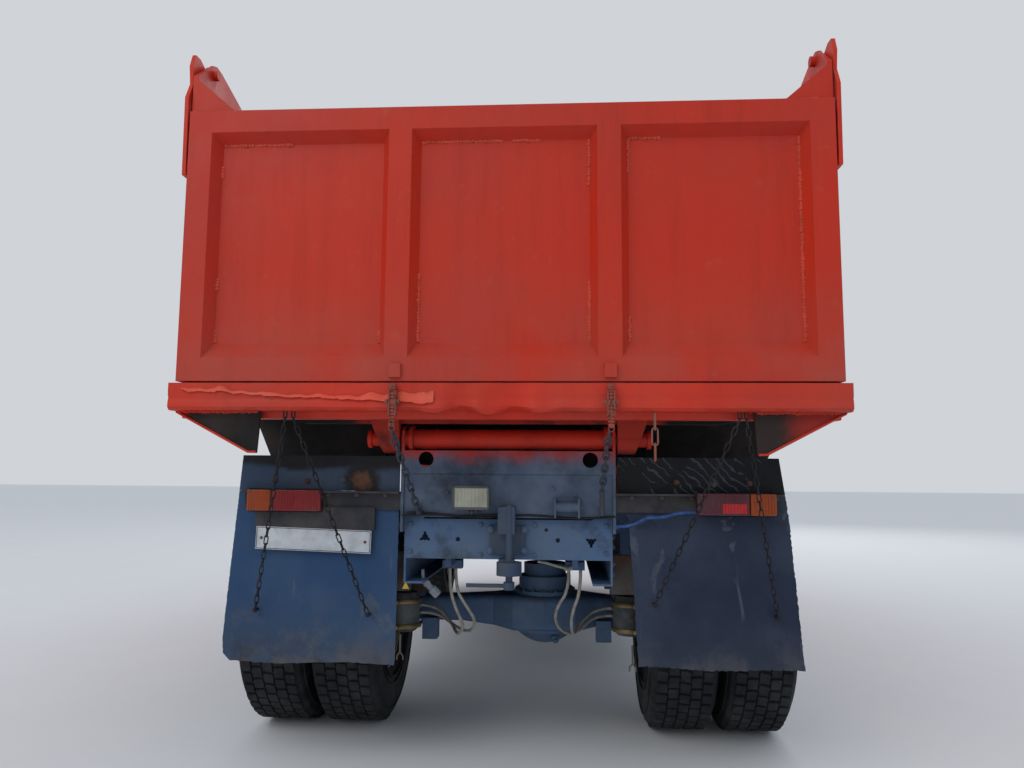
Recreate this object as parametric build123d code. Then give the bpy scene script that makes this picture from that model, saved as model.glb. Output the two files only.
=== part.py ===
from build123d import *
import os
from math import asin, atan2, cos, degrees, hypot, pi, radians, sin, sqrt, tan

os.makedirs("parts", exist_ok=True)

# Frame: +Z up, +Y towards the cab, +X to the right seen from behind, origin on the ground
# in the middle of the length. All sizes are in millimetres.

# Overall
REAR_Y = -3105
FRONT_Y = 3105
REAR_AXLE_Y = -1925
FRONT_AXLE_Y = 1675
AXLE_Z = 520
SLIP = 0.3
PIN_PLAY = 0.05

# Wheels
TYRE_R = AXLE_Z
TREAD_W = 284
BEAD_R = 288
BEAD_W = 240
FRONT_WHEEL_X = 990
DUAL_X = 920
DUAL_GAP = 334
RIM_R = BEAD_R - SLIP
RIM_WALL = 12
RIM_W = 226
DISC_T = 14
HAND_HOLES = 8
HAND_HOLE_R = 32
HAND_HOLE_CIRCLE = 205

# Chassis rails
RAIL_OUT_X = 425
RAIL_FLANGE = 80
RAIL_T = 8
RAIL_LOW_Z = 750
RAIL_TOP_Z = 1020
RAIL_REAR_Y = -2705
RAIL_FRONT_Y = 2930
WEB_IN_X = RAIL_OUT_X - RAIL_T
CROSS_H = 150
CROSS_FLANGE = 60
CROSS_T = 8

# Rear cross plate
END_PLATE_LOW_Z = 851
END_PLATE_TOP_Z = RAIL_TOP_Z - RAIL_T
END_PLATE_T = 10
TOW_HOLE_R = 9
TOW_HOLE_GAP = 408
TOW_HOLE_Z = 930

# Subframe and its hinge towers
SUB_TOP_Z = 1208
SUB_FRONT_Y = 1150
HINGE_Y = -2700
HINGE_Z = 1338
TOWER_T = 12
SHAFT_R = 41
HINGE_PIN_R = 30
BAND_HOLE_R = 31
BAND_HOLE_X = 335
BAND_HOLE_Z = 1254

# Tipping bed
BED_HALF_W = 1243
WALL_T = 63
WALL_TOP_Z = 2600
FLOOR_TOP_Z = 1500
FLOOR_T = 10
BEARER_H = 90
BEARER_W = 60
BEARERS = 9
BEAM_IN_X = 345
BEAM_OUT_X = 420
BEAM_LOW_Z = 1235
WALL_REAR_Y = -3012
BED_FRONT_Y = 1170
BOARD_T = 60
BOARD_TOP_Z = WALL_TOP_Z + 160
SILL_LOW_Z = 1426
SILL_TOP_Z = 1528
SILL_FRONT_Y = -3014
RIB_W = 90
RIB_DEPTH = 38
SIDE_PANELS = 7

# Tailgate
GATE_GAP_X = 8
GATE_HALF_W = BED_HALF_W - GATE_GAP_X
GATE_REAR_Y = -3095
GATE_FRONT_Y = -3020
GATE_LOW_Z = 1535
GATE_TOP_Z = WALL_TOP_Z
STILE_W = 92
POST_X = 398
POST_W = 88
RAIL_W = 88
RECESS = 50
BEVEL_TOP = 36
BEVEL_SIDE = 30
BEVEL_LOW = 64
GATE_PIN_Y = -2945
GATE_PIN_Z = GATE_TOP_Z + 222
GATE_PIN_R = 20
EAR_T = 15
SILL_HALF_W = BED_HALF_W + EAR_T

# Hoist
HOIST_REACH = 1500
HOIST_DROP = 518
HOIST_RISE = 62
HOIST_LUG_R = 60
HOIST_PIN_R = 25
HOIST_EYE_R = 45
HOIST_CLEAR = 45
HOIST_EAR_X = (58, 78)
STAGE_WALL = 10

# Cab
CAB_HALF_W = 1150
CAB_WALL = 45
CAB_REAR_Y = 1360
CAB_FRONT_Y = 3085
CAB_FLOOR_Z = 1200
CAB_FLOOR_T = 30
CAB_TOP_Z = 2830
CAB_LOW_Z = 930
ARCH_R = 670
CAB_PIVOT_Y = 3000
CAB_PIVOT_Z = 980
CAB_PIN_R = 15
DOOR_GAP = 6
DOOR_REAR_Y = 1900
DOOR_FRONT_Y = 2960
DOOR_LOW_Z = 1180
DOOR_TOP_Z = 2690
WINDOW_LOW_Z = 1960
GLASS_T = 6
HINGE_OUT = 14
DOOR_PIN_R = 8


def block(x, y, z):
    """Box between two corners given as (low, high) pairs."""
    size = (x[1] - x[0], y[1] - y[0], z[1] - z[0])
    middle = ((x[0] + x[1]) / 2, (y[0] + y[1]) / 2, (z[0] + z[1]) / 2)
    return Pos(*middle) * Box(*size)


def side_plate(points, x):
    """Plate with an outline of (y, z) points, from x[0] to x[1]."""
    face = Plane.YZ.offset(x[0]) * Polygon(*points, align=None)
    return extrude(face, amount=x[1] - x[0], dir=(1, 0, 0))


def cross_plate(points, y):
    """Plate with an outline of (x, z) points, from y[0] to y[1]."""
    face = Plane((0, y[0], 0), x_dir=(1, 0, 0), z_dir=(0, -1, 0)) * Polygon(*points, align=None)
    return extrude(face, amount=y[1] - y[0], dir=(0, 1, 0))


def flat_plate(points, z):
    """Plate with an outline of (x, y) points, from z[0] to z[1]."""
    face = Plane.XY.offset(z[0]) * Polygon(*points, align=None)
    return extrude(face, amount=z[1] - z[0], dir=(0, 0, 1))


def rod_x(radius, x, y, z):
    """Round bar along X from x[0] to x[1]."""
    return Pos((x[0] + x[1]) / 2, y, z) * Rot(0, 90, 0) * Cylinder(radius, x[1] - x[0])


def rod_y(radius, x, y, z):
    """Round bar along Y from y[0] to y[1]."""
    return Pos(x, (y[0] + y[1]) / 2, z) * Rot(90, 0, 0) * Cylinder(radius, y[1] - y[0])


def rod_z(radius, x, y, z):
    """Round bar along Z from z[0] to z[1]."""
    return Pos(x, y, (z[0] + z[1]) / 2) * Cylinder(radius, z[1] - z[0])


def both(piece):
    """The piece and its mirror image across the centreline."""
    return [piece, mirror(piece, about=Plane.YZ)]


def save(name, *pieces):
    solids = [solid for piece in pieces for solid in piece.solids()]
    export_step(Compound(solids), f"parts/{name}.step")


# Chassis frame
def frame_rails():
    inner = RAIL_OUT_X - RAIL_FLANGE
    rail = block((inner, RAIL_OUT_X), (RAIL_REAR_Y, RAIL_FRONT_Y), (RAIL_LOW_Z, RAIL_TOP_Z))
    hollow = block(
        (inner - 1, WEB_IN_X),
        (RAIL_REAR_Y - 1, RAIL_FRONT_Y + 1),
        (RAIL_LOW_Z + RAIL_T, RAIL_TOP_Z - RAIL_T),
    )
    save("frame_rails", *both(rail - hollow))


def tri_hole(x, z, turn):
    """Three-lobed lightening hole through the rear cross plate."""
    lobes = [
        Pos(x, 0, z) * Rot(0, turn + 120 * k, 0) * Pos(0, 0, 17) * Rot(90, 0, 0) * Cylinder(6, 60)
        for k in range(3)
    ]
    core = Pos(x, 0, z) * Rot(0, turn, 0) * Rot(90, 0, 0) * Cylinder(13, 60)
    return [Pos(0, RAIL_REAR_Y, 0) * piece for piece in (*lobes, core)]


HOSE_TOP_Z = 790
HOSE_FITTING_X = {-1: -251, 1: 276}


def crossmembers():
    # y of the front face, z of the underside, height
    channels = [
        (-2340, 846, CROSS_H),
        (-1560, 846, CROSS_H),
        (-700, 800, CROSS_H + 40),
        (300, 800, CROSS_H + 40),
        (2760, 780, CROSS_H),
    ]
    pieces = []
    for front, low, high in channels:
        web = block((-WEB_IN_X, WEB_IN_X), (front - CROSS_T, front), (low, low + high))
        flanges = [
            block((-WEB_IN_X, WEB_IN_X), (front - CROSS_FLANGE, front), (z, z + CROSS_T))
            for z in (low, low + high - CROSS_T)
        ]
        pieces.append(web + flanges[0] + flanges[1])
    plate_front = RAIL_REAR_Y + END_PLATE_T
    plate = block((-WEB_IN_X, WEB_IN_X), (RAIL_REAR_Y, plate_front), (END_PLATE_LOW_Z, END_PLATE_TOP_Z))
    for z in (END_PLATE_LOW_Z, END_PLATE_TOP_Z - CROSS_T):
        plate += block((-WEB_IN_X, WEB_IN_X), (plate_front, plate_front + 70), (z, z + CROSS_T))
    for hole in (*tri_hole(-340, 937, 0), *tri_hole(339, 925, 60)):
        plate -= hole
    for side in (-1, 1):
        plate -= rod_y(TOW_HOLE_R, side * TOW_HOLE_GAP / 2, (RAIL_REAR_Y - 5, plate_front + 5), TOW_HOLE_Z)
    plate -= rod_y(7, 157, (RAIL_REAR_Y - 5, plate_front + 5), 971)
    pieces.append(plate)
    base_y = HINGE_Y + HOIST_REACH
    base_z = HINGE_Z - HOIST_DROP
    pieces.append(rod_x(HOIST_PIN_R, (-WEB_IN_X, WEB_IN_X), base_y, base_z))
    # engine mounts on the rails, and a hanger with a hose fitting on each side
    for side in (-1, 1):
        for y in (1450, 2240):
            pad = block((320 + SLIP, WEB_IN_X), (y, y + 70), (790, 880))
            pieces.append(pad if side > 0 else mirror(pad, about=Plane.YZ))
        x = HOSE_FITTING_X[side]
        hanger = block((x - 42, x + 42), (-2520, -2464), (HOSE_TOP_Z + SLIP, HOSE_TOP_Z + 36))
        hanger += block((x - 12, x + 12), (-2640, -2500), (HOSE_TOP_Z + 22, END_PLATE_LOW_Z))
        pieces.append(hanger)
    # forks at the front ends of the rails, each with a pin for the cab's lug
    for side in (-1, 1):
        cheeks = [(WEB_IN_X - 12, WEB_IN_X), (RAIL_OUT_X - RAIL_FLANGE, RAIL_OUT_X - RAIL_FLANGE + 12)]
        outline = [
            (2790, RAIL_LOW_Z + RAIL_T),
            (RAIL_FRONT_Y, RAIL_LOW_Z + RAIL_T),
            (CAB_PIVOT_Y + 22, CAB_PIVOT_Z - 30),
            (CAB_PIVOT_Y + 22, CAB_PIVOT_Z + 22),
            (2790, CAB_PIVOT_Z + 22),
        ]
        pin = rod_x(CAB_PIN_R, (cheeks[1][0], cheeks[0][1]), CAB_PIVOT_Y, CAB_PIVOT_Z)
        fork = side_plate(outline, cheeks[0]) + side_plate(outline, cheeks[1]) + pin
        pieces.append(fork if side > 0 else mirror(fork, about=Plane.YZ))
    save("crossmembers", *pieces)


def subframe():
    rail = block((RAIL_OUT_X - 80, RAIL_OUT_X), (-2725, SUB_FRONT_Y), (RAIL_TOP_Z, SUB_TOP_Z))
    rail -= block((RAIL_OUT_X - 81, WEB_IN_X), (-2726, SUB_FRONT_Y + 1), (RAIL_TOP_Z + 8, SUB_TOP_Z - 8))
    slope = side_plate(
        [
            (SUB_FRONT_Y - 260, SUB_TOP_Z + 5),
            (SUB_FRONT_Y + 5, SUB_TOP_Z + 5),
            (SUB_FRONT_Y + 5, RAIL_TOP_Z + 40),
        ],
        (RAIL_OUT_X - 90, RAIL_OUT_X + 10),
    )
    save("subframe", *both(rail - slope))


def hinge_frame():
    tower_outline = [
        (-2745, 960),
        (-2745, 1370),
        (-2727, 1387),
        (-2675, 1387),
        (-2640, 1364),
        (-2560, 1200),
        (-2480, 1100),
        (-2480, 960),
    ]
    tower = side_plate(tower_outline, (RAIL_OUT_X, RAIL_OUT_X + TOWER_T))
    frame = tower + mirror(tower, about=Plane.YZ)
    frame += rod_x(SHAFT_R, (-RAIL_OUT_X, RAIL_OUT_X), HINGE_Y, HINGE_Z)
    frame += rod_x(HINGE_PIN_R, (-580, 580), HINGE_Y, HINGE_Z)
    for side in (-1, 1):
        frame += rod_x(SHAFT_R + 14, (side * 400 - 8, side * 400 + 8), HINGE_Y, HINGE_Z)
        frame += rod_x(38, (side * 575 - 8, side * 575 + 8), HINGE_Y, HINGE_Z)
    lower = block((-RAIL_OUT_X, RAIL_OUT_X), (-2735, -2725), (RAIL_TOP_Z, SUB_TOP_Z))
    band = block((-RAIL_OUT_X, RAIL_OUT_X), (-2745, -2735), (1196, 1290))
    for side in (-1, 1):
        band -= rod_y(BAND_HOLE_R, side * BAND_HOLE_X, (-2760, -2700), BAND_HOLE_Z)
    frame += lower
    frame += band
    save("hinge_frame", frame)


def tow_coupling():
    back = RAIL_REAR_Y
    body = block((-72, 72), (back - 16, back - SLIP), (872, 988))
    body += block((-34, 34), (back - 90, back - 10), (958, 1010))
    body += block((-34, 34), (back - 90, back - 32), (958, 1066))
    body += block((-30, 30), (back - 90, back - 10), (822, 860))
    body += rod_z(50, 12, back - 80, (798, 850))
    body -= rod_z(14, 12, back - 80, (790, 1080))
    pin = rod_z(14 - SLIP / 2, 12, back - 80, (745, 1072))
    handle = rod_x(8, (-158, 12), back - 80, 757)
    save("tow_coupling", body, pin + handle + rod_z(22, 12, back - 80, (742, 772)))


# Axles
def leaf_pack(centre_y, x, low_z, half_span, rise, leaves, leaf_t):
    """Leaf spring: thin arcs stacked on each other, shorter towards the bottom."""
    radius = (half_span ** 2 + rise ** 2) / (2 * rise)
    pack = None
    for number in range(leaves):
        inner = radius - (leaves - number) * leaf_t
        reach = half_span * (1 - 0.22 * (leaves - 1 - number))
        outer = inner + leaf_t
        ring = rod_x(outer, x, centre_y, low_z + radius)
        ring -= rod_x(inner, (x[0] - 1, x[1] + 1), centre_y, low_z + radius)
        keep_y = (centre_y - reach, centre_y + reach)
        keep = block((x[0] - 2, x[1] + 2), keep_y, (low_z - 100, low_z + rise + 60))
        leaf = ring & keep
        pack = leaf if pack is None else pack + leaf
    return pack


def leaf_springs():
    pieces = []
    # centre y, x from, x to, lowest z, half span, rise, leaves
    packs = [
        (REAR_AXLE_Y, 470, 550, 671.3, 640, 70, 4),
        (FRONT_AXLE_Y, 345, 425, 590.3, 620, 110, 3),
    ]
    for centre, x0, x1, low, span, rise, leaves in packs:
        pack = leaf_pack(centre, (x0, x1), low, span, rise, leaves, 14)
        seat_low = low - leaves * 14
        pack += block((x0 - 10, x1 + 10), (centre - 60, centre + 60), (seat_low - 8, low + 12))
        for end in (-1, 1):
            y = centre + end * (span - 12)
            hanger_low = low + rise - 40
            if x0 > RAIL_OUT_X:
                pack += block((RAIL_OUT_X, x1), (y - 28, y + 28), (hanger_low, RAIL_LOW_Z + 110))
            else:
                pack += block((x0, x1), (y - 28, y + 28), (hanger_low, RAIL_LOW_Z))
        pieces += both(pack)
    save("leaf_springs", *pieces)


KINGPIN_X = 830
SPINDLE_R = 38


def front_axle():
    outline = [
        (-830, 560),
        (-700, 560),
        (-560, 528),
        (560, 528),
        (700, 560),
        (830, 560),
        (830, 480),
        (700, 480),
        (560, 430),
        (-560, 430),
        (-700, 480),
        (-830, 480),
    ]
    beam = cross_plate(outline, (FRONT_AXLE_Y - 45, FRONT_AXLE_Y + 45))
    waist_top = [(-680, 538), (-560, 510), (560, 510), (680, 538)]
    waist = waist_top + [(680, 490), (560, 452), (-560, 452), (-680, 490)]
    beam -= cross_plate(waist, (FRONT_AXLE_Y - 50, FRONT_AXLE_Y - 18))
    beam -= cross_plate(waist, (FRONT_AXLE_Y + 18, FRONT_AXLE_Y + 50))
    for side in (-1, 1):
        beam += rod_z(46, side * KINGPIN_X, FRONT_AXLE_Y, (480, 560))
        beam += rod_z(22, side * KINGPIN_X, FRONT_AXLE_Y, (430, 610))
        beam += block((side * 385 - 50, side * 385 + 50), (FRONT_AXLE_Y - 60, FRONT_AXLE_Y + 60), (500, 540))
    save("front_axle", beam)


def knuckle():
    ears = rod_z(42, KINGPIN_X, FRONT_AXLE_Y, (432, 478)) + rod_z(42, KINGPIN_X, FRONT_AXLE_Y, (562, 608))
    link = block((KINGPIN_X + 52, KINGPIN_X + 72), (FRONT_AXLE_Y - 42, FRONT_AXLE_Y + 42), (432, 608))
    for low, high in ((432, 478), (562, 608)):
        link += block((KINGPIN_X, KINGPIN_X + 60), (FRONT_AXLE_Y - 42, FRONT_AXLE_Y + 42), (low, high))
    body = ears + link
    body -= rod_z(22 + PIN_PLAY, KINGPIN_X, FRONT_AXLE_Y, (400, 640))
    body += rod_x(SPINDLE_R, (KINGPIN_X + 60, FRONT_WHEEL_X + 70), FRONT_AXLE_Y, AXLE_Z)
    arm = flat_plate(
        [
            (KINGPIN_X - 30, FRONT_AXLE_Y - 30),
            (KINGPIN_X + 20, FRONT_AXLE_Y - 30),
            (KINGPIN_X - 10, FRONT_AXLE_Y - 200),
            (KINGPIN_X - 60, FRONT_AXLE_Y - 200),
        ],
        (432, 452),
    )
    arm -= rod_z(22 + PIN_PLAY, KINGPIN_X, FRONT_AXLE_Y, (400, 640))
    body += arm
    body += rod_z(22, KINGPIN_X - 35, FRONT_AXLE_Y - 196, (412, 462))
    return body


def knuckles():
    right = knuckle()
    save("knuckle_right", right)
    save("knuckle_left", mirror(right, about=Plane.YZ))


DIFF_X = 135
HOUSING_R = 70
NOSE_Y = REAR_AXLE_Y + 290
NOSE_Z = 650


def rear_axle():
    rear, front = REAR_AXLE_Y - HOUSING_R, REAR_AXLE_Y + HOUSING_R
    # x from the bowl's middle, half depth, lowest and highest z
    sections = [
        (-735, HOUSING_R, 478, 590),
        (-400, HOUSING_R, 476, 600),
        (-250, 92, 462, 607),
        (-150, 150, 448, 612),
        (0, 178, 446, 612),
        (150, 150, 448, 612),
        (250, 92, 462, 607),
        (340, HOUSING_R, 476, 600),
        (465, HOUSING_R, 478, 590),
    ]
    rows = []
    for x, half, low, high in sections:
        middle = Plane(origin=(DIFF_X + x, REAR_AXLE_Y, (low + high) / 2), x_dir=(0, 1, 0), z_dir=(1, 0, 0))
        rows.append(middle * RectangleRounded(2 * half, high - low, 30))
    body = loft(rows, ruled=True)
    dome = Pos(DIFF_X, REAR_AXLE_Y, 560) * Sphere(186)
    body += dome & block((-100, 400), (rear - 200, front + 200), (300, 470))
    body += rod_z(172, DIFF_X, REAR_AXLE_Y, (444, 456))
    body += rod_z(150, DIFF_X, REAR_AXLE_Y, (606, 632))
    body += rod_z(128, DIFF_X, REAR_AXLE_Y, (626, 700))
    body += rod_z(104, DIFF_X, REAR_AXLE_Y, (690, 760))
    body += rod_y(78, DIFF_X, (REAR_AXLE_Y, NOSE_Y), NOSE_Z)
    for side in (-1, 1):
        body += rod_x(48, (590, 1120) if side > 0 else (-1120, -590), REAR_AXLE_Y, AXLE_Z)
        seat_x = side * 510
        body += block((seat_x - 45, seat_x + 45), (REAR_AXLE_Y - 55, REAR_AXLE_Y + 55), (560, 607))
        body += block((side * 420 - 36, side * 420 + 36), (rear - 60, rear + 20), (400, 500))
    save("rear_axle", body)


CHAMBER_X = 540
CHAMBER_Y = -2100
PORT_X = 454


def brake_chambers():
    rows = [(0, 450), (60, 450), (78, 472), (78, 600), (62, 630), (0, 630)]
    can = revolve(Plane.XZ * Polygon(*rows, align=None), axis=Axis.Z)
    for z in (476, 592):
        can += Pos(0, 0, z) * Cylinder(85, 14)
    pieces = []
    for side in (-1, 1):
        unit = Pos(side * CHAMBER_X, CHAMBER_Y, 0) * can
        arm_x = side * CHAMBER_X
        unit += block((arm_x - 16, arm_x + 16), (CHAMBER_Y, REAR_AXLE_Y - HOUSING_R - SLIP), (500, 560))
        for z in (534, 568):
            unit += rod_x(11, (PORT_X, CHAMBER_X) if side > 0 else (-CHAMBER_X, -PORT_X), CHAMBER_Y, z)
        pieces.append(unit)
    save("brake_chambers", *pieces)


# Drive line and tanks
def engine():
    save("engine", block((-320, 320), (1300, 2450), (640, 1150)))


def driveline():
    gearbox = block((-180, 180), (700, 1299.7), (560, 960))
    gearbox = fillet(gearbox.edges().filter_by(Axis.Y), 60)
    start = Vector(0, 690, 690)
    stop = Vector(DIFF_X, NOSE_Y + SLIP, NOSE_Z)
    line = stop - start
    shaft = Plane(origin=start, z_dir=line) * Pos(0, 0, line.length / 2) * Cylinder(45, line.length)
    shaft -= block((-400, 400), (NOSE_Y - 100, NOSE_Y + SLIP), (300, 1000))
    shaft += rod_y(72, DIFF_X, (NOSE_Y + SLIP, NOSE_Y + 40), NOSE_Z)
    save("driveline", gearbox + shaft + rod_y(72, 0, (640, 710), 690))


def side_tanks():
    tank = block((500, 1100), (-880, 60), (480, 960))
    tank = fillet(tank.edges().filter_by(Axis.Y), 70)
    for y in (-720, -100):
        tank += block((RAIL_OUT_X, 560), (y - 25, y + 25), (760, 1000))
        tank += block((490, 1110), (y - 25, y + 25), (470, 490))
    save("fuel_tank", tank)
    pieces = []
    for y in (-820, -550, -280):
        drum = rod_x(118, (-1050, -540), y, 700)
        drum = fillet(drum.edges(), 40)
        drum += block((-560, -RAIL_OUT_X), (y - 25, y + 25), (690, 760))
        drum += block((-1040, -540), (y - 25, y + 25), (805, 826))
        pieces.append(drum)
    save("air_tanks", *pieces)
    box = block((500, 1100), (260, 860), (560, 960))
    box = fillet(box.edges(), 14)
    box += block((RAIL_OUT_X, 510), (320, 370), (780, 940))
    box += block((RAIL_OUT_X, 510), (750, 800), (780, 940))
    save("battery_box", box)
    can = rod_x(150, (-1080, -520), 560, 690)
    can = fillet(can.edges(), 30)
    can += block((-540, -RAIL_OUT_X), (530, 590), (752, 800))
    tail = rod_y(38, -800, (120, 450), 690)
    can += tail
    save("exhaust", can)


# Rear end of the chassis
FLAP_Y = -2730
FLAP_T = 10
FLAP_TOP_Z = 1268


def mudflaps():
    # x, z outlines: the right one is cut back at its inner edge below the lamps
    left = [(-442, FLAP_TOP_Z), (-1110, FLAP_TOP_Z), (-1165, 515), (-1160, 462), (-1125, 430), (-446, 430)]
    right = [(442, FLAP_TOP_Z), (1090, FLAP_TOP_Z), (1120, 1050), (1168, 436)]
    right += [(520, 436), (486, 1030), (442, 1050)]
    y = (FLAP_Y, FLAP_Y + FLAP_T)
    save("mudflaps", cross_plate(left, y), cross_plate(right, y))


LAMP_BAR_Z = (1046, 1122)
BAR_REAR_Y = FLAP_Y - 50


def lamp_bars():
    bar = block((RAIL_OUT_X + TOWER_T, 1090), (FLAP_Y - 10, FLAP_Y - SLIP), LAMP_BAR_Z)
    bar += block((RAIL_OUT_X + TOWER_T, 1090), (BAR_REAR_Y, FLAP_Y - 10), (LAMP_BAR_Z[1] - 8, LAMP_BAR_Z[1]))
    left_bar = mirror(bar, about=Plane.YZ)
    left_bar += block((-1035, -540), (FLAP_Y - 26, FLAP_Y - 10), (965, LAMP_BAR_Z[0] + 10))
    save("lamp_bars", bar, left_bar)


LAMP_IN_X = 745
LAMP_OUT_X = 1060
LAMP_Z = (1035, 1132)
LAMP_Y = (-2812, BAR_REAR_Y - SLIP)


def rear_lamps():
    lamp = block((LAMP_IN_X, LAMP_OUT_X), LAMP_Y, LAMP_Z)
    lamp = fillet(lamp.edges().filter_by(Axis.Y), 10)
    lamp -= block((LAMP_OUT_X - 106, LAMP_OUT_X - 102), (LAMP_Y[0] - 5, LAMP_Y[0] + 4), (1000, 1200))
    save("rear_lamps", *both(lamp))


def number_plate():
    plate = block((-1030, -550), (FLAP_Y - 30, FLAP_Y - 26 - SLIP), (872, 976))
    save("number_plate", fillet(plate.edges().filter_by(Axis.Y), 12))


def work_lamp():
    lamp = block((-214, -64), (-2830, -2785), (1054, 1149))
    lamp = fillet(lamp.edges().filter_by(Axis.Y), 14)
    lamp += block((-160, -150), (-2800, -2735 - SLIP), (1040, 1110))
    lamp += block((-128, -118), (-2800, -2735 - SLIP), (1040, 1110))
    socket_lamp = block((186, 296), (-2740, -2735 - SLIP), (1023, 1102))
    for x in (190, 284):
        socket_lamp += block((x, x + 8), (-2790, -2738), (1023, 1102))
    socket_lamp += rod_x(20, (190, 292), -2770, 1066)
    save("work_lamp", lamp, socket_lamp)


# Front end
def front_bumper():
    outer = block((-CAB_HALF_W, CAB_HALF_W), (2840, FRONT_Y), (480, 862))
    outer = fillet(outer.edges().filter_by(Axis.Z).sort_by(Axis.Y)[-2:], 90)
    inner = block((-CAB_HALF_W + 28, CAB_HALF_W - 28), (2830, FRONT_Y - 28), (470, 872))
    inner = fillet(inner.edges().filter_by(Axis.Z).sort_by(Axis.Y)[-2:], 62)
    bumper = outer - inner
    bumper -= block((-360, 360), (FRONT_Y - 60, FRONT_Y + 5), (560, 700))
    for side in (-1, 1):
        x = side * 385
        bumper += block((x - 25, x + 25), (2780, FRONT_Y - 20), (650, RAIL_LOW_Z - SLIP))
        lamp_x = side * 880
        bumper -= block((lamp_x - 150, lamp_x + 150), (FRONT_Y - 60, FRONT_Y + 5), (600, 760))
    save("front_bumper", bumper)
    pieces = []
    for side in (-1, 1):
        x = side * 880
        lamp = block((x - 149.7, x + 149.7), (FRONT_Y - 100, FRONT_Y - 10), (600.3, 759.7))
        pieces.append(fillet(lamp.edges().filter_by(Axis.Y), 12))
    save("headlamps", *pieces)


STEP_Y = (2345, 2820)
GUARD_R = 640


def steps_and_mudguards():
    pieces = []
    guard = rod_x(GUARD_R + 10, (850, 1145), FRONT_AXLE_Y, AXLE_Z)
    guard -= rod_x(GUARD_R, (840, 1155), FRONT_AXLE_Y, AXLE_Z)
    guard -= block((800, 1200), (FRONT_AXLE_Y - 800, FRONT_AXLE_Y + 800), (-200, AXLE_Z + 220))
    arm_y = (FRONT_AXLE_Y - 20, FRONT_AXLE_Y + 20)
    guard += block((RAIL_OUT_X, 870), arm_y, (AXLE_Z + GUARD_R - 18, AXLE_Z + GUARD_R + 8))
    guard += block((RAIL_OUT_X, RAIL_OUT_X + 20), arm_y, (880, 1160))
    steps = block((940, 1145), STEP_Y, (500, 530)) + block((940, 1145), STEP_Y, (800, 830))
    for y in (STEP_Y[0], STEP_Y[1] - 12):
        steps += block((940, 1145), (y, y + 12), (500, 905))
    steps += block((RAIL_OUT_X, 950), (2400, 2440), (780, 830))
    steps += block((RAIL_OUT_X, 950), (2720, 2760), (780, 830))
    for piece in (guard, steps):
        pieces += both(piece)
    save("steps_and_mudguards", *pieces)


# Tipping bed
def recess(x, z, y_out, depth, bevels):
    """Sloped-sided pocket: opening x by z at y_out, floor inset by its bevels (side, low, top)."""
    side, low, top = bevels
    mid_out = ((x[0] + x[1]) / 2, (z[0] + z[1]) / 2)
    inner_z = (z[0] + low, z[1] - top)
    mid_in = (mid_out[0], (inner_z[0] + inner_z[1]) / 2)
    out_plane = Plane((mid_out[0], y_out, mid_out[1]), x_dir=(1, 0, 0), z_dir=(0, -1, 0))
    in_plane = Plane((mid_in[0], y_out + depth, mid_in[1]), x_dir=(1, 0, 0), z_dir=(0, -1, 0))
    outer = out_plane * Rectangle(x[1] - x[0], z[1] - z[0])
    inner = in_plane * Rectangle(x[1] - x[0] - 2 * side, inner_z[1] - inner_z[0])
    return loft([outer.face(), inner.face()], ruled=True)


BEARER_DEEP_Z = 1270


def bed_floor():
    wall_in = BED_HALF_W - WALL_T
    board_y = BED_FRONT_Y - BOARD_T
    floor = block((-wall_in, wall_in), (SILL_FRONT_Y, board_y), (FLOOR_TOP_Z - FLOOR_T, FLOOR_TOP_Z))
    top = FLOOR_TOP_Z - FLOOR_T
    low = top - BEARER_H
    tip = top - 26
    first = -2740
    pitch = 440
    for number in range(BEARERS):
        y = first + number * pitch
        half = [(0, top), (BED_HALF_W, top), (BED_HALF_W, tip), (850, low), (0, low)]
        if number:
            half[3:4] = [(930, BEARER_DEEP_Z), (600, BEARER_DEEP_Z), (600, low)]
        outline = half + [(-x, z) for x, z in half[::-1] if x]
        floor += cross_plate(outline, (y, y + BEARER_W))
    for side in (-1, 1):
        x = (BEAM_IN_X, BEAM_OUT_X) if side > 0 else (-BEAM_OUT_X, -BEAM_IN_X)
        floor += block(x, (-2600, BED_FRONT_Y - 20), (BEAM_LOW_Z, top))
    # hinge brackets: wide above, narrow round the pin
    front_view = cross_plate(
        [(445, top), (566, top), (566, 1415), (514, 1274), (445, 1274)],
        (HINGE_Y - 90, HINGE_Y + 90),
    )
    taper = [(HINGE_Y - 90, top), (HINGE_Y + 90, top), (HINGE_Y + 58, HINGE_Z), (HINGE_Y - 58, HINGE_Z)]
    side_view = side_plate(taper, (400, 600))
    side_view += rod_x(60, (400, 600), HINGE_Y, HINGE_Z)
    bracket = front_view & side_view
    bracket -= rod_x(HINGE_PIN_R + PIN_PLAY, (400, 600), HINGE_Y, HINGE_Z)
    for piece in both(bracket):
        floor += piece
    # pocket and ears for the hoist's upper eye
    eye_y = HINGE_Y + HOIST_REACH
    pocket_y = (eye_y - HOIST_EYE_R - HOIST_CLEAR, eye_y + HOIST_EYE_R + HOIST_CLEAR)
    floor -= block((-HOIST_EAR_X[0], HOIST_EAR_X[0]), pocket_y, (BEAM_LOW_Z, top))
    for side in (-1, 1):
        x = HOIST_EAR_X if side > 0 else (-HOIST_EAR_X[1], -HOIST_EAR_X[0])
        ear = [(eye_y - 90, top), (eye_y + 90, top), (eye_y + 40, 1380), (eye_y - 40, 1380)]
        floor += side_plate(ear, x)
    save("bed_floor", floor)


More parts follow.
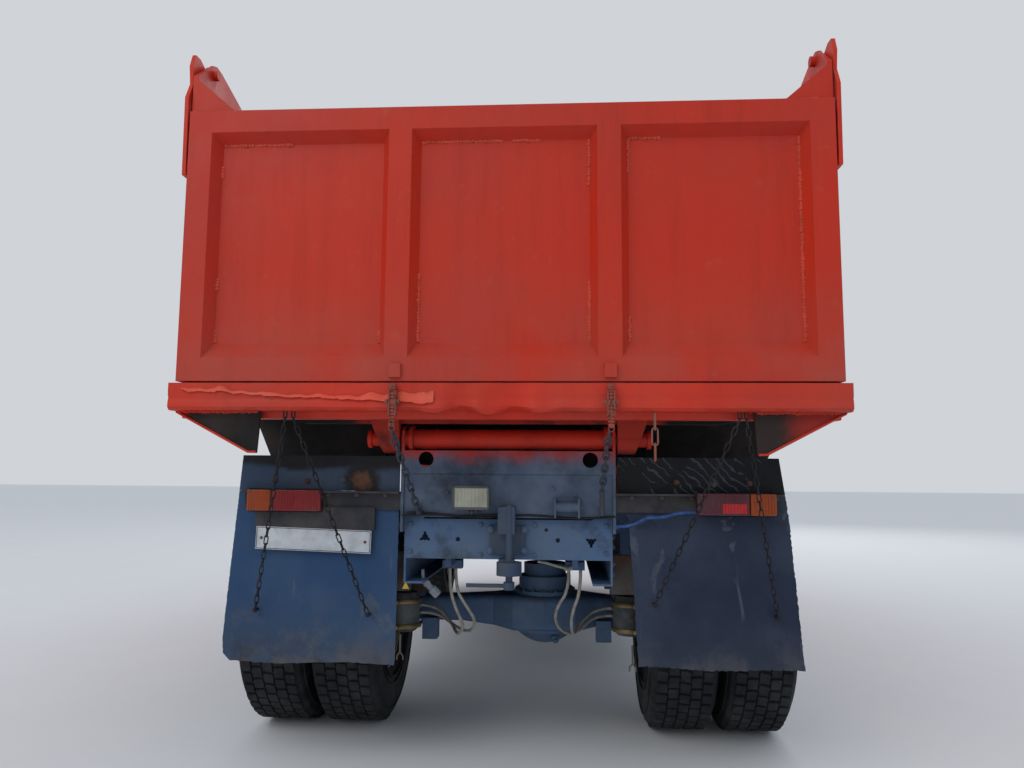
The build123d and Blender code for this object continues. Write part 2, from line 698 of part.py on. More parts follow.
def ear_outline():
    """Plate that holds the gate's pin, as (y, z), with an open slot round the pin."""
    slot_rear, slot_front = GATE_PIN_Y - GATE_PIN_R - 0.5, GATE_PIN_Y + GATE_PIN_R + 0.5
    # y measured forward from the sill's rear face, z from the gate pin
    foot = [(15, -478), (7, -164), (41, -93), (30, -22), (50, 33), (90, 36)]
    hump = [(205, 70), (240, 83), (290, 78), (500, 23), (950, -222), (950, -322), (520, -478)]
    slot = [(slot_rear, 16), (slot_rear, -12), (slot_front, -12), (slot_front, 16)]
    rows = [(REAR_Y + y, z) for y, z in foot] + slot + [(REAR_Y + y, z) for y, z in hump]
    return [(y, GATE_PIN_Z + z) for y, z in rows]


def bed_sides():
    inner = BED_HALF_W - WALL_T
    wall = block((inner, BED_HALF_W), (WALL_REAR_Y, BED_FRONT_Y), (FLOOR_TOP_Z - FLOOR_T, WALL_TOP_Z))
    length = BED_FRONT_Y - WALL_REAR_Y
    pitch = (length - RIB_W) / SIDE_PANELS
    for number in range(SIDE_PANELS):
        low_y = WALL_REAR_Y + RIB_W + number * pitch
        high_y = low_y + pitch - RIB_W
        pocket_z = (FLOOR_TOP_Z + 70, WALL_TOP_Z - 90)
        pocket = recess((low_y, high_y), pocket_z, -BED_HALF_W, RIB_DEPTH, (24, 40, 24))
        wall -= Rot(0, 0, 90) * pocket
    ear = side_plate(ear_outline(), (BED_HALF_W, BED_HALF_W + EAR_T))
    ear -= rod_x(GATE_PIN_R + 0.5, (BED_HALF_W - 1, BED_HALF_W + EAR_T + 1), GATE_PIN_Y, GATE_PIN_Z)
    wall += ear
    wall += rod_x(15, (BED_HALF_W, BED_HALF_W + EAR_T + 8), REAR_Y + 290, GATE_PIN_Z + 44)
    save("bed_side_right", wall)
    save("bed_side_left", mirror(wall, about=Plane.YZ))


def bed_headboard():
    half = BED_HALF_W - WALL_T
    board = block((-half, half), (BED_FRONT_Y - BOARD_T, BED_FRONT_Y), (FLOOR_TOP_Z - FLOOR_T, BOARD_TOP_Z))
    width = (2 * half - RIB_W) / 4
    for number in range(4):
        low_x = -half + RIB_W + number * width
        pocket_z = (FLOOR_TOP_Z + 70, BOARD_TOP_Z - 90)
        pocket = recess((low_x, low_x + width - RIB_W), pocket_z, -BED_FRONT_Y, RIB_DEPTH, (24, 40, 24))
        board -= Rot(0, 0, 180) * pocket
    save("bed_headboard", board)


def bed_sill():
    sill = block((-SILL_HALF_W, SILL_HALF_W), (REAR_Y, SILL_FRONT_Y), (SILL_LOW_Z, SILL_TOP_Z))
    sill = chamfer(sill.edges().filter_by(Axis.X).group_by(Axis.Z)[0].sort_by(Axis.Y)[0], 14)
    for side in (-1, 1):
        # x from the sill's end, z from its foot
        rows = [(-338, 0), (-3, 0), (-8, -8), (-298, -159), (-328, -159)]
        outline = [(side * (SILL_HALF_W + x), SILL_LOW_Z + z) for x, z in rows]
        sill += cross_plate(outline, (REAR_Y + 60, REAR_Y + 70))
    # beam that carries the sill under the floor's rear edge
    beam_y = (SILL_FRONT_Y, SILL_FRONT_Y + 60)
    sill += block((-BED_HALF_W, BED_HALF_W), beam_y, (1400, FLOOR_TOP_Z - FLOOR_T))
    save("bed_sill", sill)


def gate_latches():
    pieces = []
    for side in (-1, 1):
        x = side * 398
        cheeks = block((x - 16, x - 8), (REAR_Y - 30, REAR_Y), (1400, 1500))
        cheeks += block((x + 8, x + 16), (REAR_Y - 30, REAR_Y), (1400, 1500))
        lever = block((x - 8, x + 8), (REAR_Y - 34, REAR_Y - 12), (1375, 1522))
        pieces.append(cheeks + lever + rod_x(9, (x - 24, x + 24), REAR_Y - 22, 1455))
        pieces[-1] += block((x - 14, x + 14), (REAR_Y - 40, REAR_Y - 8), (1360, 1395))
    spare_chain = chain((557, REAR_Y + 22, 1418.5), (557, REAR_Y + 22, 1250), 56, 0, 7, 28)
    save("latches_and_chain", *pieces, *spare_chain)


def tailgate():
    gate = block((-GATE_HALF_W, GATE_HALF_W), (GATE_REAR_Y, GATE_FRONT_Y), (GATE_LOW_Z, GATE_TOP_Z))
    low, top = GATE_LOW_Z + RAIL_W, GATE_TOP_Z - RAIL_W
    # x from, x to of the three recessed panels
    fields = [
        (-GATE_HALF_W + STILE_W, -POST_X - POST_W / 2),
        (-POST_X + POST_W / 2, POST_X - POST_W / 2),
        (POST_X + POST_W / 2, GATE_HALF_W - STILE_W),
    ]
    for x in fields:
        gate -= recess(x, (low, top), GATE_REAR_Y, RECESS, (BEVEL_SIDE, BEVEL_LOW, BEVEL_TOP))
    for side in (-1, 1):
        corner_x, corner_z = GATE_HALF_W - 180, GATE_PIN_Z - 67
        rows = [(corner_x, GATE_TOP_Z), (GATE_HALF_W, GATE_TOP_Z), (GATE_HALF_W, corner_z)]
        gate += cross_plate([(side * x, z) for x, z in rows], (GATE_REAR_Y + 14, GATE_REAR_Y + 26))
        arm_x = (GATE_HALF_W - 20, GATE_HALF_W) if side > 0 else (-GATE_HALF_W, -GATE_HALF_W + 20)
        arm = side_plate(
            [
                (GATE_REAR_Y + 14, GATE_TOP_Z - 30),
                (GATE_REAR_Y + 14, corner_z),
                (GATE_PIN_Y - 26, GATE_PIN_Z + 26),
                (GATE_PIN_Y + 24, GATE_PIN_Z + 26),
                (GATE_PIN_Y + 34, GATE_PIN_Z - 10),
                (GATE_FRONT_Y, GATE_TOP_Z + 60),
                (GATE_FRONT_Y, GATE_TOP_Z - 30),
            ],
            arm_x,
        )
        pin_x = (GATE_HALF_W - 40, BED_HALF_W + EAR_T + 8)
        arm += rod_x(GATE_PIN_R, pin_x if side > 0 else (-pin_x[1], -pin_x[0]), GATE_PIN_Y, GATE_PIN_Z)
        gate += arm
        tab_x = side * 398
        gate += block((tab_x - 22, tab_x + 22), (GATE_REAR_Y - 14, GATE_REAR_Y), (1548, 1600))
    save("tailgate", gate)


# Hoist
def hoist():
    y = HINGE_Y + HOIST_REACH
    z = HINGE_Z - HOIST_DROP
    closed = HOIST_DROP + HOIST_RISE
    # outer radius, lowest z above the base pin, highest z above the base pin
    barrel_r = 88
    barrel = rod_z(barrel_r, 0, y, (z + 55, z + closed - 95))
    barrel += rod_x(HOIST_LUG_R, (-50, 50), y, z)
    barrel += block((-50, 50), (y - 50, y + 50), (z, z + 80))
    barrel -= rod_x(HOIST_PIN_R + PIN_PLAY, (-60, 60), y, z)
    bores = [barrel_r - STAGE_WALL, barrel_r - 2 * STAGE_WALL - 3, barrel_r - 3 * STAGE_WALL - 6]
    barrel -= rod_z(bores[0], 0, y, (z + 80, z + closed))
    save("hoist_barrel", barrel)
    top = z + closed - 95
    # stage: outer radius, bore radius, top z
    for number, outer in enumerate(bores):
        radius = outer - SLIP
        low = z + 86 + 6 * number
        high = top + 8 * (number + 1)
        stage = rod_z(radius, 0, y, (low, high))
        if number < 2:
            stage -= rod_z(bores[number + 1], 0, y, (low + 4, high + 5))
        else:
            stage += rod_z(26, 0, y, (high - 5, z + closed))
            stage += rod_x(HOIST_EYE_R, (-35, 35), y, z + closed)
            stage += rod_x(20, (-52, 52), y, z + closed)
        save(f"hoist_stage_{number + 1}", stage)


# Cab
SCREEN_FOOT = (3060, 1950)
SCREEN_HEAD = (2900, 2780)


def cab_outline(inset, low):
    """Side outline of the cab as (y, z), moved inwards by inset."""
    return [
        (CAB_REAR_Y + inset, low),
        (CAB_REAR_Y + inset, CAB_TOP_Z - 60 - inset),
        (CAB_REAR_Y + 60 + inset, CAB_TOP_Z - inset),
        (SCREEN_HEAD[0] - 70 - inset, CAB_TOP_Z - inset),
        (SCREEN_HEAD[0] - inset, SCREEN_HEAD[1] - inset * 0.4),
        (SCREEN_FOOT[0] - inset, SCREEN_FOOT[1]),
        (CAB_FRONT_Y - inset, SCREEN_FOOT[1] - 60),
        (CAB_FRONT_Y - inset, low),
    ]


def door_outline(gap):
    """Door shape as (y, z), made smaller by gap all round."""
    return [
        (DOOR_REAR_Y + gap, DOOR_LOW_Z + gap),
        (DOOR_FRONT_Y - gap, DOOR_LOW_Z + gap),
        (DOOR_FRONT_Y - gap, WINDOW_LOW_Z),
        (DOOR_FRONT_Y - 130 - gap, DOOR_TOP_Z - gap),
        (DOOR_REAR_Y + gap, DOOR_TOP_Z - gap),
    ]


def screen_plate(x, start, stop, depth):
    """Slab parallel to the windscreen, between fractions start and stop of its height."""
    dy = SCREEN_HEAD[0] - SCREEN_FOOT[0]
    dz = SCREEN_HEAD[1] - SCREEN_FOOT[1]
    low = (SCREEN_FOOT[0] + dy * start, SCREEN_FOOT[1] + dz * start)
    high = (SCREEN_FOOT[0] + dy * stop, SCREEN_FOOT[1] + dz * stop)
    rows = [
        (low[0] - depth[0], low[1]),
        (low[0] - depth[1], low[1]),
        (high[0] - depth[1], high[1]),
        (high[0] - depth[0], high[1]),
    ]
    return side_plate(rows, x)


CAB_CORNER_R = 34


def cab():
    shell = side_plate(cab_outline(0, CAB_LOW_Z), (-CAB_HALF_W, CAB_HALF_W))
    shell = fillet([edge for edge in shell.edges() if edge.center().Z > CAB_LOW_Z + 5], CAB_CORNER_R)
    half_in = CAB_HALF_W - CAB_WALL
    shell -= side_plate(cab_outline(CAB_WALL, CAB_FLOOR_Z + CAB_FLOOR_T), (-half_in, half_in))
    under_y = (CAB_REAR_Y - 5, CAB_FRONT_Y - CAB_WALL)
    shell -= block((-half_in, half_in), under_y, (CAB_LOW_Z - 5, CAB_FLOOR_Z))
    shell -= rod_x(ARCH_R, (-CAB_HALF_W - 5, CAB_HALF_W + 5), FRONT_AXLE_Y, AXLE_Z)
    rear_y = (CAB_REAR_Y - 5, FRONT_AXLE_Y)
    shell -= block((-CAB_HALF_W - 5, CAB_HALF_W + 5), rear_y, (CAB_LOW_Z - 5, CAB_FLOOR_Z - 12))
    shell -= screen_plate((-1040, 1040), 0.06, 0.9, (-40, CAB_WALL + 60))
    shell -= block((-700, 700), (CAB_REAR_Y - 5, CAB_REAR_Y + CAB_WALL + 5), (2000, 2520))
    for side in (-1, 1):
        x = (half_in - 5, CAB_HALF_W + 5) if side > 0 else (-CAB_HALF_W - 5, -half_in + 5)
        shell -= side_plate(door_outline(0), x)
    # split line under the windscreen, and air slots behind the doors
    shell -= block((-1080, 1080), (CAB_FRONT_Y - 5, CAB_FRONT_Y + 5), (1600, 1612))
    for number in range(6):
        z = 1420 + 42 * number
        for x in ((CAB_HALF_W - 8, CAB_HALF_W + 5), (-CAB_HALF_W - 5, -CAB_HALF_W + 8)):
            shell -= block(x, (1480, 1800), (z, z + 16))
    # opening for the grille, and the pivot lugs behind the front panel
    shell -= block((-700, 700), (CAB_FRONT_Y - CAB_WALL - 5, CAB_FRONT_Y + 5), (1130, 1480))
    for side in (-1, 1):
        x = side * 381
        lug_y = (CAB_PIVOT_Y - 30, CAB_FRONT_Y - CAB_WALL + 5)
        lug = block((x - 16, x + 16), lug_y, (CAB_PIVOT_Z, CAB_FLOOR_Z + 5))
        lug += rod_x(30, (x - 16, x + 16), CAB_PIVOT_Y, CAB_PIVOT_Z)
        lug -= rod_x(CAB_PIN_R + PIN_PLAY, (x - 20, x + 20), CAB_PIVOT_Y, CAB_PIVOT_Z)
        shell += lug
        # notch over the fork, for the tilted cab
        notch_y = (CAB_FRONT_Y - CAB_WALL - 5, CAB_FRONT_Y + 5)
        shell -= block((x - 54, x + 54), notch_y, (CAB_LOW_Z - 5, 1006))
    for side in (-1, 1):
        for z in DOOR_HINGES_Z:
            shell += door_hinge_post(side, z)
    save("cab_shell", shell)
    windscreen = screen_plate((-1039.7, 1039.7), 0.0603, 0.8997, (18, 18 + GLASS_T))
    rear = block((-699.7, 699.7), (CAB_REAR_Y + 18, CAB_REAR_Y + 18 + GLASS_T), (2000.3, 2519.7))
    save("cab_glass", windscreen, rear)


DOOR_HINGES_Z = (1330, 1850)
DOOR_AXIS_X = CAB_HALF_W + HINGE_OUT
DOOR_AXIS_Y = DOOR_FRONT_Y + HINGE_OUT


def door_hinge_post(side, z):
    """Pin on the cab with a bracket above and below the door's knuckle."""
    post = rod_z(DOOR_PIN_R, DOOR_AXIS_X, DOOR_AXIS_Y, (z - 62, z + 62))
    for low in (z - 62, z + 32):
        post += rod_z(13, DOOR_AXIS_X, DOOR_AXIS_Y, (low, low + 30))
        post += block((CAB_HALF_W, DOOR_AXIS_X + 5), (DOOR_AXIS_Y, DOOR_AXIS_Y + 45), (low, low + 30))
    return post if side > 0 else mirror(post, about=Plane.YZ)


def doors():
    inner = CAB_HALF_W - CAB_WALL
    door = side_plate(door_outline(DOOR_GAP), (inner, CAB_HALF_W))
    window = [
        (DOOR_REAR_Y + 70, WINDOW_LOW_Z + 30),
        (DOOR_FRONT_Y - 80, WINDOW_LOW_Z + 30),
        (DOOR_FRONT_Y - 190, DOOR_TOP_Z - 80),
        (DOOR_REAR_Y + 70, DOOR_TOP_Z - 80),
    ]
    door -= side_plate(window, (inner - 5, CAB_HALF_W + 5))
    for z in DOOR_HINGES_Z:
        knuckle_ring = rod_z(13, DOOR_AXIS_X, DOOR_AXIS_Y, (z - 27, z + 27))
        strap_y = (DOOR_FRONT_Y - 50, DOOR_AXIS_Y)
        knuckle_ring += block((CAB_HALF_W, DOOR_AXIS_X + 5), strap_y, (z - 27, z + 27))
        door += knuckle_ring - rod_z(DOOR_PIN_R + PIN_PLAY, DOOR_AXIS_X, DOOR_AXIS_Y, (z - 40, z + 40))
    # handle and mirror arm
    door += block((CAB_HALF_W, CAB_HALF_W + 32), (DOOR_REAR_Y + 60, DOOR_REAR_Y + 200), (1830, 1860))
    arm_y = DOOR_FRONT_Y - 70
    door += rod_x(12, (CAB_HALF_W - 5, 1240), arm_y, 1900)
    door += rod_x(12, (CAB_HALF_W - 5, 1240), arm_y - 60, 2450)
    door += block((1162, 1250), (arm_y - 90, arm_y - 40), (2010, 2440))
    door += rod_z(12, 1228, arm_y - 10, (1890, 2100))
    door += rod_z(12, 1228, arm_y - 60, (2350, 2460))
    save("door_right", door)
    save("door_left", mirror(door, about=Plane.YZ))
    inset = [
        (window[0][0] + SLIP, window[0][1] + SLIP),
        (window[1][0] - SLIP, window[1][1] + SLIP),
        (window[2][0] - SLIP, window[2][1] - SLIP),
        (window[3][0] + SLIP, window[3][1] - SLIP),
    ]
    middle = (inner + CAB_HALF_W) / 2
    pane = side_plate(inset, (middle - GLASS_T / 2, middle + GLASS_T / 2))
    save("door_right_glass", pane)
    save("door_left_glass", mirror(pane, about=Plane.YZ))


def cab_inside():
    floor = CAB_FLOOR_Z + CAB_FLOOR_T
    seats = []
    for x in (-560, 560):
        cushion = block((x - 250, x + 250), (1700, 2190), (floor + 240, floor + 360))
        back = side_plate(
            [(1520, floor + 360), (1640, floor + 360), (1560, floor + 980), (1450, floor + 980)],
            (x - 240, x + 240),
        )
        base = block((x - 200, x + 200), (1660, 2110), (floor, floor + 240))
        joint = block((x - 240, x + 240), (1520, 1705), (floor + 240, floor + 360))
        seats.append(cushion + back + base + joint)
    save("cab_seats", *seats)
    half = CAB_HALF_W - CAB_WALL - SLIP
    front = CAB_FRONT_Y - CAB_WALL - SLIP
    dash = side_plate(
        [(2720, 1700), (2700, 1880), (2760, 1915), (3000, 1915), (front, 1870), (front, 1500), (2860, 1500)],
        (-half, half),
    )
    wheel_plane = Plane((-560, 2560, 1990), z_dir=(0, -0.75, 0.66))
    wheel = wheel_plane * Torus(215, 16)
    for turn in (0, 120, 240):
        wheel += wheel_plane * Rot(0, 0, turn) * Pos(108, 0, 0) * Box(216, 26, 12)
    wheel += wheel_plane * Pos(0, 0, -130) * Cylinder(30, 290)
    dash += wheel
    save("cab_dashboard", dash)
    grille = block((-699.7, 699.7), (CAB_FRONT_Y - 34, CAB_FRONT_Y - 4), (1130.3, 1479.7))
    for low in range(1150, 1450, 48):
        grille -= block((-675, 675), (CAB_FRONT_Y - 40, CAB_FRONT_Y), (low, low + 28))
    save("cab_grille", grille)


# Wheels
def tyre(x):
    half_tread = TREAD_W / 2
    half_bead = BEAD_W / 2
    rows = [(BEAD_R, -half_bead), (TYRE_R, -half_tread), (TYRE_R, half_tread), (BEAD_R, half_bead)]
    ring = revolve(Plane.XZ * Polygon(*rows, align=None), axis=Axis.Z)
    return Pos(x, 0, AXLE_Z) * Rot(0, 90, 0) * ring


def rim(x, disc):
    """Rim barrel round x, with its disc at the signed distance disc from the middle."""
    half = RIM_W / 2
    ring = rod_x(RIM_R, (x - half, x + half), 0, AXLE_Z)
    ring -= rod_x(RIM_R - RIM_WALL, (x - half - 1, x + half + 1), 0, AXLE_Z)
    plate = rod_x(RIM_R - RIM_WALL + 1, (x + disc - DISC_T / 2, x + disc + DISC_T / 2), 0, AXLE_Z)
    for number in range(HAND_HOLES):
        turn = 2 * pi * number / HAND_HOLES
        y = HAND_HOLE_CIRCLE * cos(turn)
        z = AXLE_Z + HAND_HOLE_CIRCLE * sin(turn)
        plate -= rod_x(HAND_HOLE_R, (x + disc - 20, x + disc + 20), y, z)
    return ring + plate


def wheels():
    front = rim(FRONT_WHEEL_X, 70)
    front += rod_x(95, (FRONT_WHEEL_X - 70, FRONT_WHEEL_X + 75), 0, AXLE_Z)
    front += rod_x(70, (FRONT_WHEEL_X + 70, FRONT_WHEEL_X + 110), 0, AXLE_Z)
    front -= rod_x(SPINDLE_R + PIN_PLAY, (FRONT_WHEEL_X - 80, FRONT_WHEEL_X + 72), 0, AXLE_Z)
    front = Pos(0, FRONT_AXLE_Y, 0) * front
    rubber = Pos(0, FRONT_AXLE_Y, 0) * tyre(FRONT_WHEEL_X)
    save("front_rim_right", front)
    save("front_rim_left", mirror(front, about=Plane.YZ))
    save("front_tyre_right", rubber)
    save("front_tyre_left", mirror(rubber, about=Plane.YZ))
    inner_x = DUAL_X - DUAL_GAP / 2
    outer_x = DUAL_X + DUAL_GAP / 2
    pair = rim(inner_x, 100) + rim(outer_x, -100)
    pair += rod_x(120, (640, DUAL_X + 90), 0, AXLE_Z)
    pair += rod_x(185, (650, 800), 0, AXLE_Z)
    pair += rod_x(85, (DUAL_X + 85, outer_x + 100), 0, AXLE_Z)
    pair -= rod_x(48 + PIN_PLAY, (600, 1125), 0, AXLE_Z)
    pair = Pos(0, REAR_AXLE_Y, 0) * pair
    twins = [Pos(0, REAR_AXLE_Y, 0) * tyre(x) for x in (inner_x, outer_x)]
    save("rear_rims_right", pair)
    save("rear_rims_left", mirror(pair, about=Plane.YZ))
    save("rear_tyres_right", *twins)
    save("rear_tyres_left", *[mirror(t, about=Plane.YZ) for t in twins])


# Chains
LINK_T = 6
LINK_W = 22


def chain(start, stop, pitch, first_turn=0, wire=LINK_T, width=LINK_W):
    """Straight chain of flat rings, each turned a quarter from the last."""
    start, stop = Vector(*start), Vector(*stop)
    span = stop - start
    count = max(1, round(span.length / pitch))
    inner = span.length / count + SLIP
    ring = Box(width, wire, inner + 2 * wire) - Box(width - 2 * wire, wire + 2, inner)
    plane = Plane(origin=start, x_dir=Vector(0, 1, 0).cross(span), z_dir=span)
    step = span.length / count
    return [
        plane * Pos(0, 0, (number + 0.5) * step) * Rot(0, 0, 90 * ((number + first_turn) % 2)) * ring
        for number in range(count)
    ]


CHAIN_PITCH = 62


def chains():
    # outermost strand, inside the sill's gussets
    hang_x = SILL_HALF_W - 367
    # strand: x, y, z of its top, x, y, z of its foot
    strands = [
        (-hang_x + 70, -3055, 1400, -1020, -2755, 641),
        (-hang_x + 101, -3055, 1400, -556, -2755, 630),
        (hang_x - 24, -3055, 1400, 586, -2755, 689),
        (hang_x, -3055, 1400, 1059, -2755, 648),
    ]
    links = []
    for x0, y0, z0, x1, y1, z1 in strands:
        strand = chain((x0, y0, z0), (x1, y1, z1), CHAIN_PITCH)
        strand[0] += block((x0 - 7, x0 + 7), (y0 - 10, y0 + 10), (z0 - 3, SILL_LOW_Z - SLIP))
        strand[-1] += block((x1 - 10, x1 + 10), (y1, FLAP_Y - SLIP), (z1 - 8, z1 + 8))
        links += strand
    save("flap_chains", *links)
    links = []
    for x0, x1, z1, foot in ((-399, -353, 1044, 1032), (390, 380, 1136, 1032)):
        strand = chain((x0, REAR_Y - 20, 1352), (x1, -2790, z1), CHAIN_PITCH)
        strand[0] += block((x0 - 7, x0 + 7), (REAR_Y - 28, REAR_Y - 12), (1349, 1360 - SLIP))
        strand[-1] += rod_z(11, x1, -2790, (foot, z1 + 2))
        strand[-1] += block((x1 - 8, x1 + 8), (-2790, -2735 - SLIP), (foot, foot + 16))
        links += strand
    save("latch_chains", *links)


# Hoses, each a tube along straight runs joined by tangent arcs
def tube(name, points, radius):
    vectors = [Vector(*p) for p in points]
    radii = []
    for before, here, after in zip(vectors, vectors[1:], vectors[2:]):
        turn = radians((here - before).get_angle(after - here))
        run = min((here - before).length, (after - here).length)
        radii.append(0.45 * run / tan(turn / 2))
    path = FilletPolyline(*points, radius=radii)
    section = Plane(origin=points[0], z_dir=vectors[1] - vectors[0]) * Circle(radius)
    hose = sweep(section, path=path)
    print(name, "radii", [round(r) for r in radii], "length", round(path.length))
    print(name, "volume over section times length", round(hose.volume / (pi * radius ** 2 * path.length), 4))
    save(name, hose)


HOSE_R = 7
# x, y, z of the route's points
HOSES = {
    "brake_hose_left_rear": [
        (-262, -2505, 790),
        (-262, -2505, 700),
        (-238, -2470, 610),
        (-208, -2410, 530),
        (-248, -2330, 470),
        (-298, -2168, 505),
        (-385, -2100, 568),
        (-453.7, -2100, 568),
    ],
    "brake_hose_left_front": [
        (-240, -2480, 790),
        (-240, -2480, 700),
        (-196, -2440, 620),
        (-158, -2380, 545),
        (-196, -2300, 480),
        (-280, -2175, 484),
        (-370, -2100, 534),
        (-453.7, -2100, 534),
    ],
    "brake_hose_right_rear": [
        (300, -2505, 790),
        (300, -2505, 700),
        (262, -2460, 600),
        (262, -2395, 520),
        (275, -2310, 480),
        (300, -2168, 508),
        (385, -2100, 568),
        (453.7, -2100, 568),
    ],
    "brake_hose_right_front": [
        (250, -2480, 790),
        (250, -2480, 700),
        (196, -2430, 620),
        (190, -2350, 540),
        (235, -2270, 478),
        (300, -2165, 470),
        (372, -2100, 534),
        (453.7, -2100, 534),
    ],
    "lamp_conduit": [
        (437.3, -2739, 990),
        (495, -2739, 990),
        (555, -2770, 1030),
        (620, -2785, 1030),
        (680, -2790, 1052),
        (744.7, -2790, 1052),
    ],
}


def hoses():
    for name, points in HOSES.items():
        tube(name, points, HOSE_R)


frame_rails()
crossmembers()
subframe()
hinge_frame()
tow_coupling()
leaf_springs()
front_axle()
knuckles()
rear_axle()
brake_chambers()
engine()
driveline()
side_tanks()
mudflaps()
lamp_bars()
rear_lamps()
number_plate()
work_lamp()
front_bumper()
steps_and_mudguards()
bed_floor()
bed_sides()
bed_headboard()
bed_sill()
gate_latches()
tailgate()
hoist()
cab()
doors()
cab_inside()
wheels()
chains()
hoses()
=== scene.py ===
import math
import random

import bmesh
import bpy
from mathutils import Matrix, Vector, noise


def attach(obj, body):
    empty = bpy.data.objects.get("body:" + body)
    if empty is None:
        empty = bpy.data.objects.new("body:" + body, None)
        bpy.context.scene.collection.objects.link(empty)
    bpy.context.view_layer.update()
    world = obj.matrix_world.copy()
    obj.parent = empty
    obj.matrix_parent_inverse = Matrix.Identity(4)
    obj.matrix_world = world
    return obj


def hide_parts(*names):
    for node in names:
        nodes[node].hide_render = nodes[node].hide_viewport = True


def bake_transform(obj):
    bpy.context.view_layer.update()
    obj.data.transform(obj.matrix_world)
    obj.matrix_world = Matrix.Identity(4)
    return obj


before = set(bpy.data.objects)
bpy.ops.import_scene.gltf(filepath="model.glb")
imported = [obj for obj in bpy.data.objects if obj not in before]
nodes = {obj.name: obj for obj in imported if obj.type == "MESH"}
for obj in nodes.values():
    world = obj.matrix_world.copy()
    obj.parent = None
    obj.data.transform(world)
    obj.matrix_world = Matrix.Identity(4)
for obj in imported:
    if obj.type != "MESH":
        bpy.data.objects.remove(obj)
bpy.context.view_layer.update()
X, Y, Z = Vector((1, 0, 0)), Vector((0, 1, 0)), Vector((0, 0, 1))

# Places shared by several pieces, in metres
REAR_AXLE_Y, FRONT_AXLE_Y, AXLE_Z = -1.925, 1.675, 0.52
TYRE_R, BEAD_R = 0.52, 0.288
REAR_WHEELS_X = (0.753, 1.087)
DIFF_X = 0.135
FRONT_WHEEL_X = 0.99
RAIL_X = 0.425
RAIL_REAR_Y = -2.705
PLATE_Y = -2.735
FLAP_Y = -2.73
LAMP_Y = -2.812
SILL_REAR_Y, SILL_FRONT_Y, SILL_Z = -3.105, -3.014, (1.426, 1.528)
CHAMBER_Y = -2.10
GATE_REAR_Y = -3.095
HEADLAMP_Y = 3.095
SIDES = ((-1, "left"), (1, "right"))


def span(side, near, far):
    """Range of x from near to far on one side of the truck."""
    return sorted((side * near, side * far))


def ripple(x, y, z):
    """Smooth unevenness, about -1 to 1, that is the same at each run."""
    return noise.noise(Vector((x, y, z)))


def add_object(name, data):
    made = bpy.data.objects.new(name, data)
    bpy.context.scene.collection.objects.link(made)
    return made


def mesh_from(bm, name):
    mesh = bpy.data.meshes.new(name)
    bm.to_mesh(mesh)
    bm.free()
    return mesh


# Looks
class Nodes:
    """Short ways to add a node to a tree and to set or link its inputs, by socket name or number."""

    def __init__(self, tree):
        self.tree = tree

    def put(self, made, inputs):
        for key, value in inputs.items():
            socket = made.inputs[key]
            if isinstance(value, bpy.types.NodeSocket):
                self.tree.links.new(value, socket)
            elif socket.type == "RGBA":
                socket.default_value = (*value, 1.0)
            else:
                socket.default_value = value

    def node(self, kind, inputs=None, **settings):
        made = self.tree.nodes.new("ShaderNode" + kind)
        for name, value in settings.items():
            setattr(made, name, value)
        self.put(made, inputs or {})
        return made


